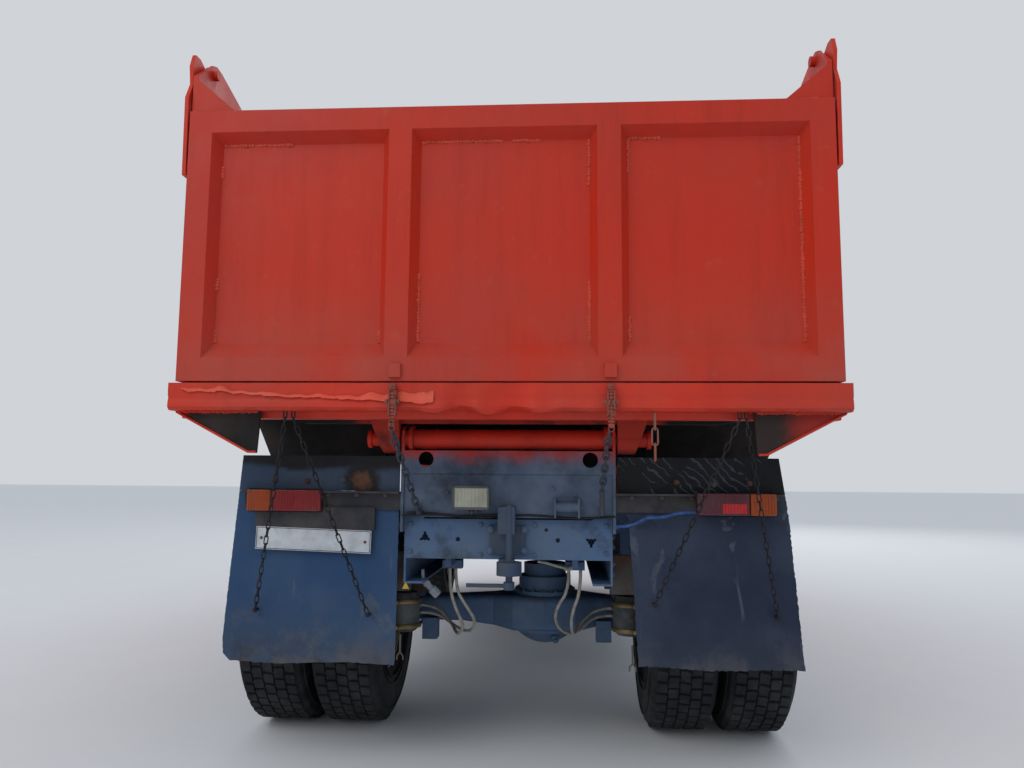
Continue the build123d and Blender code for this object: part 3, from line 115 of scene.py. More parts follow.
class Look(Nodes):
    """A procedural material made of noise in the truck's frame. tone is its colour so far."""

    def __init__(self, name, rough=0.5, metal=0.0, round_edges=0.0):
        self.material = bpy.data.materials.new(name)
        self.material.use_nodes = True
        super().__init__(self.material.node_tree)
        self.shade({"Roughness": rough, "Metallic": metal, "Specular IOR Level": 0.28})
        self.place = self.node("TexCoord").outputs["Object"]
        self.normal = None
        if round_edges:
            self.bend(self.node("Bevel", {"Radius": round_edges}, samples=4))

    def shade(self, inputs):
        self.put(self.tree.nodes["Principled BSDF"], inputs)

    def bend(self, made):
        self.normal = made.outputs["Normal"]
        self.shade({"Normal": self.normal})

    def noise(self, scale, detail=4.0, rough=0.6, stretch=(1, 1, 1), twist=0.0):
        place = self.node("Mapping", {"Vector": self.place, "Scale": stretch}).outputs["Vector"]
        grain = {"Vector": place, "Scale": scale, "Detail": detail, "Roughness": rough, "Distortion": twist}
        return self.node("TexNoise", grain).outputs["Fac"]

    def along(self, axis):
        return self.node("SeparateXYZ", {"Vector": self.place}).outputs[axis]

    def from_middle(self):
        return self.math("ABSOLUTE", self.along("X"))

    def mask(self, source, low, high):
        limits = {"Value": source, "From Min": low, "From Max": high}
        return self.node("MapRange", limits, interpolation_type="SMOOTHSTEP").outputs["Result"]

    def patches(self, low, high, *grain):
        """Noise cut into soft patches. grain is noise's scale, detail, rough, stretch and twist."""
        return self.mask(self.noise(*grain), low, high)

    def math(self, operation, a, b=0.0):
        return self.node("Math", {0: a, 1: b}, operation=operation).outputs["Value"]

    def times(self, a, b):
        return self.math("MULTIPLY", a, b)

    def plus(self, a, b):
        return self.math("ADD", a, b)

    def ragged(self, source, amount, *grain):
        """A measure made uneven by noise, for masks with drifting edges."""
        return self.plus(source, self.times(self.noise(*grain), amount))

    def drift(self, source, low, high, amount, *grain):
        """A mask along a measure, with a ragged edge."""
        return self.mask(self.ragged(source, amount, *grain), low, high)

    def mix(self, mask, a, b):
        return self.node("Mix", {"Factor": mask, 6: a, 7: b}, data_type="RGBA").outputs[2]

    def base(self, a, b, low, high, *grain):
        """Starts the tone as two colours in patches."""
        self.tone = self.mix(self.patches(low, high, *grain), a, b)

    def over(self, mask, color, share=None):
        """Lays a colour over the tone where mask is one."""
        if share is not None:
            mask = self.times(mask, share)
        self.tone = self.mix(mask, self.tone, color)

    def wave(self, scale, axis, profile="SIN", twist=0.0):
        bands = {"Vector": self.place, "Scale": scale, "Distortion": twist}
        return self.node("TexWave", bands, bands_direction=axis, wave_profile=profile).outputs["Fac"]

    def edges(self):
        """One on sharp edges, zero on flat faces."""
        true = self.node("NewGeometry").outputs["True Normal"]
        dot = self.node("VectorMath", {0: self.normal, 1: true}, operation="DOT_PRODUCT")
        return self.mask(self.math("SUBTRACT", 1.0, dot.outputs["Value"]), 0.02, 0.25)

    def bump(self, source, height):
        inputs = {"Distance": height, "Strength": 1.0, "Height": source}
        if self.normal is not None:
            inputs["Normal"] = self.normal
        self.bend(self.node("Bump", inputs))

    def finish(self, rough=None, *bumps):
        """Links the tone. rough is (low, high, *grain), and each bump is (height, *grain)."""
        self.shade({"Base Color": self.tone})
        if rough:
            low, high, *grain = rough
            made = self.node("MapRange", {"Value": self.noise(*grain), "To Min": low, "To Max": high})
            self.shade({"Roughness": made.outputs["Result"]})
        for height, *grain in bumps:
            self.bump(self.noise(*grain), height)
        return self.material


def orange_paint(name, base, worn, dust=0.25, low_z=1.4, rust=0.58):
    """Brushed-on enamel: uneven tone, vertical streaks, dust that thickens downwards, a painted highlight
    that lightens every sharp edge, chips to rust.
    """
    look = Look(name, round_edges=0.003)
    edges_lit_and_chipped = look.edges()
    look.base(base, worn, 0.35, 0.7, 1.3)
    look.over(look.patches(0.45, 0.8, 5, 5, 0.65, (3, 3, 0.25)), [c * 0.62 for c in base], 0.35)
    look.over(look.patches(0.6, 0.75, 14, 6, 0.7), (0.50, 0.12, 0.07), 0.22)
    height = look.mask(look.along("Z"), low_z + 0.6, low_z)
    look.over(look.times(look.patches(0.3, 0.75, 2.2, 6), height), (0.22, 0.15, 0.11), dust)
    spots = look.patches(rust + 0.12, rust + 0.17, 46, 6, 0.7)
    near_edge = look.times(edges_lit_and_chipped, look.patches(0.5, 0.6, 24, 5))
    # painted highlight: sharp edges are lightened towards pale orange
    look.over(edges_lit_and_chipped, (0.78, 0.105, 0.055), 0.55)
    look.over(look.math("MAXIMUM", look.times(spots, height), near_edge), (0.085, 0.032, 0.018))
    return look.finish((0.30, 0.62, 9, 6), (0.0006, 60, 4, 0.6, (1, 1, 0.5)), (0.004, 3.0, 2))


def chassis_paint(name, base, dirt):
    """Grey-blue frame paint under road dust, with dark oily patches."""
    look = Look(name, round_edges=0.002)
    look.base(base, dirt, 0.35, 0.68, 5, 7, 0.65)
    look.over(look.patches(0.52, 0.7, 2.6, 6, 0.7), (0.012, 0.013, 0.015), 0.8)
    look.over(look.times(look.edges(), look.patches(0.4, 0.62, 30, 4)), (0.16, 0.12, 0.09))
    return look.finish((0.38, 0.85, 7, 6), (0.0014, 40, 6, 0.7))


def hinge_paint():
    """Grey-blue plates with red overspray above, fading downwards in drifts."""
    look = Look("hinge_frame_paint", round_edges=0.002)
    look.base((0.066, 0.100, 0.160), (0.112, 0.152, 0.216), 0.35, 0.68, 5, 7, 0.65)
    look.over(look.patches(0.5, 0.7, 2.6, 6, 0.7), (0.016, 0.018, 0.022), 0.7)
    red = look.mix(look.patches(0.35, 0.7, 4, 5), (0.60, 0.030, 0.012), (0.36, 0.022, 0.012))
    look.over(look.drift(look.along("Z"), 1.285, 1.372, 0.12, 7, 6, 0.7), red)
    look.over(look.times(look.edges(), look.patches(0.45, 0.65, 30, 4)), (0.13, 0.10, 0.08))
    return look.finish((0.35, 0.8, 7, 6), (0.0014, 40, 6, 0.7))


def under_bed():
    """Floor beams near black as painted shade under the bed, with orange overspray on their ends, worn red
    floor plate above.
    """
    look = Look("under_bed_painted_shade", round_edges=0.003)
    # near-black base: painted shade under the bed
    look.base((0.010, 0.009, 0.009), (0.035, 0.026, 0.022), 0.4, 0.7, 5, 6)
    look.over(look.drift(look.from_middle(), 1.28, 1.36, 0.2, 8, 5), (0.20, 0.020, 0.012))
    rear = look.drift(look.along("Y"), -2.66, -2.72, 0.06, 8, 5)
    rear = look.times(rear, look.mask(look.from_middle(), 0.66, 0.60))
    look.over(look.times(rear, look.patches(0.25, 0.5, 6, 5, 0.7)), (0.40, 0.028, 0.013))
    plate = look.mix(look.patches(0.4, 0.65, 3, 7, 0.7), (0.16, 0.045, 0.030), (0.075, 0.065, 0.06))
    look.over(look.mask(look.along("Z"), 1.492, 1.497), plate)
    return look.finish((0.5, 0.9, 9, 5), (0.002, 30, 5, 0.7))


def scuffed_rubber():
    """Black rubber sheet rubbed in loops."""
    look = Look("scuffed_rubber")
    loops = look.times(look.wave(15, "DIAGONAL", "SAW", 7.0), look.patches(0.36, 0.52, 4, 4))
    look.base((0.0015, 0.002, 0.0035), (0.005, 0.007, 0.011), 0.35, 0.7, 4, 6)
    look.over(look.mask(loops, 0.72, 0.9), (0.055, 0.064, 0.080))
    look.bump(loops, 0.004)
    return look.finish((0.35, 0.7, 9, 6))


def iron(name, base, rust, mud=(0.11, 0.09, 0.07), share=0.5):
    """Cast or forged metal with rust and caked dust."""
    look = Look(name, rough=0.7, metal=0.25, round_edges=0.002)
    look.base(base, rust, share - 0.1, share + 0.18, 9, 6, 0.7)
    look.over(look.patches(0.48, 0.75, 3, 7, 0.65), mud)
    return look.finish((0.45, 0.9, 11, 5), (0.0016, 70, 5, 0.75))


def tyre_rubber():
    look = Look("tyre_rubber")
    look.base((0.010, 0.012, 0.015), (0.036, 0.038, 0.040), 0.38, 0.7, 6, 7, 0.7)
    look.over(look.patches(0.62, 0.8, 60, 4), (0.07, 0.068, 0.065))
    return look.finish((0.65, 0.95, 20, 4), (0.0012, 120, 4))


def flap_rubber(name, base, worn, mud_z):
    """Painted or bare sheet rubber, scuffed, with brown mud towards its foot."""
    look = Look(name)
    look.base(base, worn, 0.35, 0.7, 3, 6)
    look.over(look.patches(0.62, 0.68, 7, 5, 0.6, (1, 1, 0.35), 1.5), (0.10, 0.12, 0.15), 0.5)
    grime = look.drift(look.along("Z"), mud_z + 0.42, mud_z, 0.3, 3, 5)
    look.over(grime, (0.046, 0.058, 0.076), 0.55)
    look.over(look.times(grime, look.patches(0.46, 0.62, 6, 7, 0.72)), (0.120, 0.105, 0.095), 0.75)
    soil = look.mix(look.patches(0.42, 0.62, 9, 6, 0.7), (0.034, 0.030, 0.030), (0.105, 0.090, 0.078))
    foot = look.drift(look.along("Z"), mud_z + 0.14, mud_z, 0.16, 6, 5)
    look.over(look.times(foot, look.patches(0.38, 0.58, 13, 6, 0.7)), soil, 0.75)
    return look.finish((0.42, 0.8, 9, 6), (0.003, 26, 6, 0.6, (1, 1, 0.6)))


def lens(name, base, ribs=55, glow=0.0):
    """Moulded lamp plastic with vertical flutes behind a dusty skin."""
    look = Look(name, rough=0.28)
    look.base(base, [0.6 * c + 0.05 for c in base], 0.4, 0.75, 9, 5)
    look.shade({"Coat Weight": 0.25})
    if glow:
        look.shade({"Emission Color": base, "Emission Strength": glow})
    look.bump(look.wave(ribs, "X"), 0.003)
    return look.finish()


def painted_panel():
    """Rubber panel brushed blue-grey at its foot, near black along its top as a painted shadow of the bed,
    with rust stains and a burnt spot.
    """
    look = Look("painted_panel")
    look.base((0.030, 0.058, 0.110), (0.062, 0.088, 0.135), 0.35, 0.7, 5, 6)
    # painted shadow of the bed: near black along the panel's top, with a ragged edge
    look.over(look.drift(look.along("Z"), 1.245, 1.275, 0.09, 5, 5, 0.65), (0.010, 0.010, 0.012))
    look.over(look.patches(0.60, 0.70, 7, 5, 0.7), (0.13, 0.050, 0.022), 0.5)
    # square of the distance from the burnt spot's middle
    across, above = look.plus(look.along("X"), 0.60), look.math("SUBTRACT", look.along("Z"), 1.163)
    burn = look.plus(look.times(across, across), look.times(above, above))
    burn = look.ragged(burn, 0.008, 14, 6, 0.75)
    look.over(look.mask(burn, 0.0125, 0.0065), (0.014, 0.013, 0.013))
    look.over(look.mask(burn, 0.0068, 0.0042), (0.15, 0.062, 0.028))
    return look.finish((0.35, 0.75, 9, 6), (0.006, 7, 5))


def gusset_painted_shade():
    """Darkened orange at the outer corner, fading to near black under the bed, both painted shade."""
    look = Look("gusset_painted_shade")
    look.tone = look.mix(look.noise(9, 5), (0.010, 0.009, 0.009), (0.045, 0.024, 0.020))
    # red is the bed's orange darkened as painted shade
    red = look.mix(look.patches(0.35, 0.7, 5, 5), (0.34, 0.022, 0.012), (0.20, 0.018, 0.012))
    look.over(look.drift(look.from_middle(), 1.06, 1.20, 0.12, 9, 5, 0.7), red)
    return look.finish((0.4, 0.8, 9, 6), (0.002, 30, 5, 0.7))


def plain(name, base, spread=0.35, rough=(0.4, 0.7), bump=0.0006, metal=0.0, scale=14):
    """Two-tone speckled finish for small trim."""
    look = Look(name, metal=metal)
    look.base(base, [c * (1 - spread) for c in base], 0.35, 0.7, scale, 6, 0.7)
    return look.finish((*rough, scale * 0.7, 5), (bump, scale * 6, 4))


def clear_glass():
    look = Look("window_glass")
    look.shade({"Transmission Weight": 0.92, "IOR": 1.1})
    look.base((0.80, 0.88, 0.87), (0.55, 0.58, 0.56), 0.45, 0.9, 4, 6)
    return look.finish((0.02, 0.20, 7, 5))


def fabric():
    look = Look("seat_cloth", rough=0.9)
    threads = look.times(look.wave(160, "X"), look.wave(160, "Z"))
    look.tone = look.mix(threads, (0.035, 0.036, 0.042), (0.075, 0.075, 0.082))
    look.bump(threads, 0.0015)
    return look.finish()


ORANGE = (0.58, 0.029, 0.009)
OILED = (0.075, 0.082, 0.095)
LOOKS = {
    "gate": orange_paint("gate_paint", ORANGE, (0.50, 0.035, 0.019), 0.3, 1.5),
    "bed": orange_paint("bed_paint", (0.68, 0.032, 0.010), (0.54, 0.032, 0.014), 0.22, 1.25, 0.54),
    "cab": orange_paint("cab_paint", ORANGE, (0.52, 0.050, 0.028), 0.4, 1.0, 0.64),
    "chassis": chassis_paint("chassis_paint", (0.072, 0.135, 0.255), (0.100, 0.148, 0.220)),
    "subframe": chassis_paint("subframe_paint", (0.062, 0.096, 0.155), (0.11, 0.145, 0.195)),
    "hinge": hinge_paint(),
    "under_bed_shade": under_bed(),
    "scuffed": scuffed_rubber(),
    "black": chassis_paint("black_paint", (0.020, 0.021, 0.024), (0.06, 0.058, 0.056)),
    "axle": iron("axle_iron", (0.086, 0.146, 0.250), (0.085, 0.080, 0.084), (0.130, 0.176, 0.250), 0.62),
    "steel": iron("bare_steel", (0.12, 0.12, 0.125), (0.13, 0.062, 0.034)),
    "chain": iron("chain_steel", (0.020, 0.022, 0.027), (0.050, 0.032, 0.026), (0.045, 0.045, 0.045), 0.55),
    "latch_chain": iron("greasy_chain", (0.06, 0.072, 0.095), (0.085, 0.06, 0.05), OILED, 0.6),
    "latch": orange_paint("latch_paint", (0.34, 0.026, 0.014), (0.20, 0.022, 0.014), 0.6, 1.5, 0.45),
    # the torn lip's light orange is painted sunlight
    "torn": orange_paint("torn_edge_painted_sunlight", (0.80, 0.075, 0.035), (0.70, 0.12, 0.07), 0.1, 1.0),
    "weld": plain("weld_bead", (0.66, 0.085, 0.045), 0.3, (0.25, 0.5)),
    "gold": plain("passivated_steel", (0.36, 0.27, 0.13), rough=(0.3, 0.6), metal=0.7),
    "pale": plain("white_paint", (0.60, 0.64, 0.68), 0.3, (0.4, 0.75), 0.0008),
    "rim": plain("rim_paint", (0.40, 0.38, 0.36), 0.65, (0.5, 0.85), 0.001, scale=7),
    "tyre": tyre_rubber(),
    "panel_left": painted_panel(),
    "gusset": gusset_painted_shade(),
    "lamp_bar": chassis_paint("lamp_bar_paint", (0.026, 0.028, 0.036), (0.072, 0.066, 0.066)),
    "chamber": plain("chamber_grey", (0.15, 0.16, 0.165), 0.72, (0.4, 0.75), 0.001, scale=6),
    "lamp_frame": plain("lamp_frame", (0.10, 0.105, 0.11), 0.4, bump=0.0008),
    "beige": lens("beige_lens", (0.62, 0.64, 0.52), 70),
    "coupling": chassis_paint("coupling_paint", (0.040, 0.070, 0.120), (0.070, 0.085, 0.110)),
    "spare_chain": iron("overpainted_chain", (0.36, 0.10, 0.060), (0.24, 0.16, 0.13), (0.40, 0.16, 0.10)),
    "fitting": plain("pale_fitting", (0.30, 0.33, 0.37), 0.5, bump=0.0008, scale=30),
    "tag": plain("yellow_tag", (0.60, 0.42, 0.06), 0.3, bump=0.0004),
    "flap_left": flap_rubber("flap_painted", (0.020, 0.062, 0.150), (0.036, 0.080, 0.162), 0.50),
    "flap_right": flap_rubber("flap_bare", (0.013, 0.022, 0.048), (0.034, 0.047, 0.082), 0.38),
    "hose": plain("clear_hose", (0.40, 0.38, 0.33), 0.45, (0.3, 0.6), 0.0004, scale=30),
    "conduit": plain("blue_conduit", (0.045, 0.115, 0.34), 0.55, (0.3, 0.6), 0.0004, scale=24),
    "red_lens": lens("red_lens", (0.30, 0.020, 0.022)),
    "dull_lens": lens("faded_red_lens", (0.13, 0.030, 0.042)),
    "bright_lens": lens("bright_red_lens", (0.50, 0.012, 0.016), 90, 0.25),
    "amber_lens": lens("amber_lens", (0.42, 0.070, 0.010)),
    "clear_lens": lens("clear_lens", (0.62, 0.64, 0.63), 70),
    "glass": clear_glass(),
    "rubber": plain("black_rubber", (0.020, 0.021, 0.023), 0.5, (0.55, 0.85), 0.001, scale=20),
    "trim": plain("cab_plastic", (0.05, 0.05, 0.053), 0.35, (0.5, 0.75), 0.0012, scale=40),
    "cloth": fabric(),
}


# Shapes
class Shape:
    """A mesh put together from small solids, in the truck's frame, in metres."""

    def __init__(self):
        self.bm = bmesh.new()

    def loft(self, low, high):
        """Closed band of faces between two loops of vertices."""
        for k in range(len(low)):
            m = (k + 1) % len(low)
            self.bm.faces.new((low[k], low[m], high[m], high[k]))

    def box(self, x, y, z, bevel=0.0):
        middle = Vector([a + b for a, b in (x, y, z)]) / 2
        matrix = Matrix.Translation(middle) @ Matrix.Diagonal([b - a for a, b in (x, y, z)] + [1])
        made = bmesh.ops.create_cube(self.bm, size=1, matrix=matrix)["verts"]
        if bevel:
            edges = list({e for v in made for e in v.link_edges})
            bmesh.ops.bevel(self.bm, geom=edges, offset=bevel, segments=2, affect="EDGES", profile=0.5)

    def lathe(self, profile, place, axis, steps=32, closed=False):
        """Turns (radius, distance along the axis) points round the axis through place."""
        frame_of = axis.to_track_quat("Z", "Y").to_matrix().to_4x4()
        rings = []
        for number in range(steps):
            turn = 2 * math.pi * number / steps
            across = Vector((math.cos(turn), math.sin(turn), 0))
            points = [Vector(place) + frame_of @ (across * r + Z * d) for r, d in profile]
            rings.append([self.bm.verts.new(p) for p in points])
        count = len(profile)
        for here, there in zip(rings, rings[1:] + rings[:1]):
            for k in range(count if closed else count - 1):
                m = (k + 1) % count
                self.bm.faces.new((here[k], there[k], there[m], here[m]))
        if not closed:
            for k, flip in ((0, -1), (count - 1, 1)):
                if profile[k][0] > 1e-6:
                    self.bm.faces.new([ring[k] for ring in rings][::flip])

    def rod(self, start, end, radius, steps=20, bevel=0.0):
        start, end = Vector(start), Vector(end)
        length = (end - start).length
        b = min(bevel, radius * 0.5, length * 0.3)
        profile = [(radius, 0), (radius, length)]
        if b:
            profile = [(radius - b, 0), (radius, b), (radius, length - b), (radius - b, length)]
        self.lathe(profile, start, (end - start).normalized(), steps)

    def bolt(self, place, axis, size):
        """Washer and chamfered hexagon head, standing on place."""
        self.lathe([(size * 1.15, 0), (size * 1.15, size * 0.18)], place, axis, 14)
        self.lathe([(size, size * 0.18), (size, size * 0.85), (size * 0.82, size)], place, axis, 6)
        self.lathe([(size * 0.45, size), (size * 0.4, size * 1.3)], place, axis, 8)

    def tube(self, points, radius, steps=8, closed=False):
        """Round tube along points."""
        points = [Vector(p) for p in points]
        count = len(points)
        turns = [2 * math.pi * k / steps for k in range(steps)]
        rings, side = [], None
        for number, here in enumerate(points):
            before = points[number - 1] if closed or number else here
            after = points[(number + 1) % count] if closed or number < count - 1 else here
            ahead = (after - before).normalized()
            if side is None:
                side = ahead.orthogonal().normalized()
            side = (side - ahead * side.dot(ahead)).normalized()
            up = ahead.cross(side)
            around = [here + (side * math.cos(t) + up * math.sin(t)) * radius for t in turns]
            rings.append([self.bm.verts.new(p) for p in around])
        for number in range(count if closed else count - 1):
            self.loft(rings[number], rings[(number + 1) % count])
        if not closed:
            self.bm.faces.new(rings[0][::-1])
            self.bm.faces.new(rings[-1])

    def link(self, middle, along, across, inner, width, wire):
        """Chain link: two half circles joined by straight sides."""
        reach, radius = inner / 2, (width - wire) / 2
        straight = reach + wire / 2 - radius
        points = []
        for end in (1, -1):
            for turn in [math.pi * k / 6 for k in range(7)]:
                bow = across * math.cos(turn) * radius + along * (straight + math.sin(turn) * radius)
                points.append(middle + end * bow)
        self.tube(points, wire / 2, 6, closed=True)

    def sheet(self, rows):
        """Skin over rows of points."""
        grid = [[self.bm.verts.new(p) for p in row] for row in rows]
        for low, high in zip(grid, grid[1:]):
            for k in range(len(low) - 1):
                self.bm.faces.new((low[k], low[k + 1], high[k + 1], high[k]))

    def cross_plate(self, outline, rear, front):
        """Flat plate across the truck, from its x, z outline."""
        faces = [[self.bm.verts.new((x, y, z)) for x, z in outline] for y in (rear, front)]
        for corners in faces:
            self.bm.faces.new(corners)
        self.loft(*faces)

    def done(self, name, look, body, slot=None, replaces=(), sharp=32):
        bmesh.ops.recalc_face_normals(self.bm, faces=self.bm.faces)
        limit = math.radians(sharp)
        for face in self.bm.faces:
            face.smooth = True
        for edge in self.bm.edges:
            edge.smooth = len(edge.link_faces) == 2 and edge.calc_face_angle(0) < limit
        piece = add_object(name, mesh_from(self.bm, name))
        piece.data.materials.append(LOOKS[look])
        if body:
            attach(piece, body)
        if replaces:
            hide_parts(*replaces)
        return piece


# CAD nodes that keep their shape, by look
FINISHES = {
    "gate": "tailgate",
    "bed": "bed_side_left bed_side_right bed_headboard bed_sill hoist_barrel",
    "latch": "latches_and_chain",
    # the bed floor takes the near-black painted shade of the underside
    "under_bed_shade": "bed_floor",
    "subframe": "subframe",
    "hinge": "hinge_frame",
    "chassis": "frame_rails crossmembers fuel_tank",
    "lamp_bar": "lamp_bars",
    "coupling": "tow_coupling",
    "black": "air_tanks battery_box steps_and_mudguards cab_grille",
    "axle": "front_axle rear_axle engine driveline knuckle_left knuckle_right",
    "steel": "leaf_springs exhaust hoist_stage_1 hoist_stage_2 hoist_stage_3",
    "cab": "cab_shell door_left door_right front_bumper",
    "glass": "cab_glass door_left_glass door_right_glass",
    "pale": "number_plate work_lamp",
    "chamber": "brake_chambers",
    "rim": "front_rim_left front_rim_right rear_rims_left rear_rims_right",
    "flap_left": "mudflaps",
    "red_lens": "rear_lamps",
    "clear_lens": "headlamps",
    "cloth": "cab_seats",
    "trim": "cab_dashboard",
    "chain": "flap_chains latch_chains",
    "hose": "brake_hose_left_rear brake_hose_left_front brake_hose_right_rear brake_hose_right_front",
    "conduit": "lamp_conduit",
}


def finishes():
    for look, names in FINISHES.items():
        for name in names.split():
            materials = nodes[name].data.materials
            materials.clear()
            materials.append(LOOKS[look])


# Tyres and wheel nuts
TREAD_ROWS, TREAD_PITCHES, TREAD_W = 5, 52, 0.246
TYRE_SIDE = [
    # radius, half width, from the bead to the crown
    (BEAD_R, 0.118), (0.300, 0.128), (0.335, 0.139), (0.395, 0.148), (0.440, 0.147),
    (0.470, 0.142), (0.492, 0.136), (0.506, 0.122), (0.509, 0.06),
]
HUBS = [
    # end, y, body, disc's outer face, hub's outer face, radius of the hub's bolt circle
    ("front", FRONT_AXLE_Y, "front_wheel", 1.067, 1.065, 0.066),
    ("rear", REAR_AXLE_Y, "rear_wheels", 0.997, 1.0105, 0.102),
]
NUT_CIRCLE_R = 0.142


def tyre(name, centres_x, y, body, node):
    """Radial truck tyres with rounded shoulders, sidewall rings and slanted tread blocks."""
    shape = Shape()
    profile = [(r, -d) for r, d in TYRE_SIDE] + TYRE_SIDE[::-1]
    profile += [(BEAD_R + 0.014, 0.10), (BEAD_R + 0.014, -0.10)]
    width = TREAD_W / TREAD_ROWS
    for x in centres_x:
        shape.lathe(profile, (x, y, AXLE_Z), X, 96, closed=True)
        for d in (0.318, 0.352, 0.462):
            for sign in (-1, 1):
                ring = [(d - 0.003, 0.130), (d - 0.002, 0.1495), (d + 0.002, 0.1495), (d + 0.003, 0.130)]
                shape.lathe([(r, sign * w) for r, w in ring], (x, y, AXLE_Z), X, 64, closed=True)
        for row in range(TREAD_ROWS):
            middle = (row - (TREAD_ROWS - 1) / 2) * width
            outer = row in (0, TREAD_ROWS - 1)
            for number in range(TREAD_PITCHES):
                turn = 2 * math.pi * (number + 0.5 * (row % 2)) / TREAD_PITCHES
                long = math.pi * TYRE_R / TREAD_PITCHES * (0.80 if outer else 0.84)
                slant = 0.0 if outer else 0.10 * (-1) ** row
                tread_block(shape, (x, y), middle, turn, width * 0.43, long, slant)
    shape.done(name, "tyre", body, "tyre_rubber", [node], 28)


def tread_block(shape, place, middle, turn, half_w, half_l, slant):
    """One block of tread: a low six-sided lump standing on the carcass."""
    corners = [(-1, -1), (1, -0.86), (1.06, 0.2), (1, 1), (-1, 0.86), (-1.06, -0.2)]
    layers = []
    for radius, grow in ((TYRE_R - 0.018, 1.06), (TYRE_R - 0.0025, 1.0), (TYRE_R - 0.0004, 0.93)):
        layer = []
        for w, l in [(half_w * a, half_l * b) for a, b in corners]:
            angle = turn + (l * grow + slant * w) / TYRE_R
            x, y = place[0] + middle + w * grow, place[1] + radius * math.cos(angle)
            layer.append(shape.bm.verts.new((x, y, AXLE_Z + radius * math.sin(angle))))
        layers.append(layer)
    for low, high in zip(layers, layers[1:]):
        shape.loft(low, high)
    shape.bm.faces.new(layers[-1])


def wheels():
    for side, name in SIDES:
        centres = [side * x for x in REAR_WHEELS_X]
        tyre(f"tyres_rear_{name}", centres, REAR_AXLE_Y, f"rear_wheels_{name}", f"rear_tyres_{name}")
    for side, name in SIDES:
        centres = [side * FRONT_WHEEL_X]
        tyre(f"tyre_front_{name}", centres, FRONT_AXLE_Y, f"front_wheel_{name}", f"front_tyre_{name}")
    for end, y, body, face, hub, hub_r in HUBS:
        for side, name in SIDES:
            shape = Shape()
            for count, radius, out, size in ((10, NUT_CIRCLE_R, face, 0.016), (8, hub_r, hub, 0.009)):
                for number in range(count):
                    turn = 2 * math.pi * (number + 0.5) / count
                    place = (side * out, y + radius * math.cos(turn), AXLE_Z + radius * math.sin(turn))
                    shape.bolt(place, X * side, size)
            ring = [(0.262, 0.0), (0.265, 0.005), (0.271, 0.005), (0.274, 0.0)]
            shape.lathe(ring, (side * (face + 0.001), y, AXLE_Z), X * side, 48, closed=True)
            shape.done(f"wheel_nuts_{end}_{name}", "rim", f"{body}_{name}", "plate_white")


# Weld beads
WELD_PITCH, WELD_SIZE = 0.012, 0.008


def weld(shape, start, end, seed, gaps=0.0):
    """A hand-laid bead between two points, in lumps of uneven size, broken where gaps says."""
    start, end = Vector(start), Vector(end)
    rng = random.Random(seed)
    along = (end - start).normalized()
    turn = along.to_track_quat("X", "Z").to_matrix().to_4x4()
    count = int((end - start).length / WELD_PITCH)
    running = True
    for number in range(count):
        if rng.random() < 0.04:
            running = rng.random() > gaps
        if not running:
            continue
        place = start.lerp(end, (number + 0.5) / count)
        place += Vector([rng.uniform(-0.0016, 0.0016) for _ in range(3)])
        grow = WELD_SIZE * rng.uniform(0.75, 1.3)
        matrix = Matrix.Translation(place) @ turn @ Matrix.Diagonal((WELD_PITCH * 0.85, grow, grow, 1))
        bmesh.ops.create_icosphere(shape.bm, subdivisions=1, radius=1, matrix=matrix)


# x of the bevels' feet in the gate's three fields, and z and y of the fields' floor
GATE_FIELDS = ((-1.113, -0.472), (-0.324, 0.324), (0.472, 1.113))
FIELD_LOW, FIELD_TOP, FIELD_Y = 1.687, 2.476, GATE_REAR_Y + 0.05


def gate_welds():
    shape = Shape()
    for number, (x0, x1) in enumerate(GATE_FIELDS):
        corners = [(x, FIELD_Y, z) for x in (x0, x1) for z in (FIELD_LOW, FIELD_TOP)]
        weld(shape, corners[0], corners[1], number * 4 + 1, 0.55)
        weld(shape, corners[2], corners[3], number * 4 + 2, 0.55)
        weld(shape, corners[1], corners[3], number * 4 + 3, 0.75)
    y, z = GATE_REAR_Y + 0.013, 2.6005
    for side in (-1, 1):
        weld(shape, (side * 1.055, y, z), (side * 1.225, y, z), 20 + side)
    shape.done("gate_weld_beads", "weld", "tailgate", "paint_orange")


def bed_welds():
    shape = Shape()
    y, z = SILL_REAR_Y + 0.058, 1.424
    for side in (-1, 1):
        x = side * 1.2455
        weld(shape, (x, -3.005, 2.343), (x, -2.585, 2.343), 31, 0.3)
        weld(shape, (x, -2.585, 2.343), (x, -2.135, 2.499), 32, 0.3)
        weld(shape, (side * 0.93, y, z), (side * 1.24, y, z), 5 + side)
    shape.done("bed_weld_beads", "bed", "bed", "paint_orange")


# Mud flaps
FLAP_EDGES = {
    # by side, rows from the top: z, inner edge, outer edge
    -1: [(1.266, 0.444, 1.108), (0.515, 0.448, 1.163), (0.462, 0.449, 1.158), (0.432, 0.450, 1.123)],
    1: [(1.266, 0.444, 1.088), (1.050, 0.444, 1.118), (1.030, 0.488, 1.121), (0.438, 0.522, 1.166)],
}


def between(rows, z, column):
    for high, low in zip(rows, rows[1:]):
        if z >= low[0]:
            t = (z - low[0]) / (high[0] - low[0])
            return low[column] + (high[column] - low[column]) * min(1.0, t)
    return rows[-1][column]


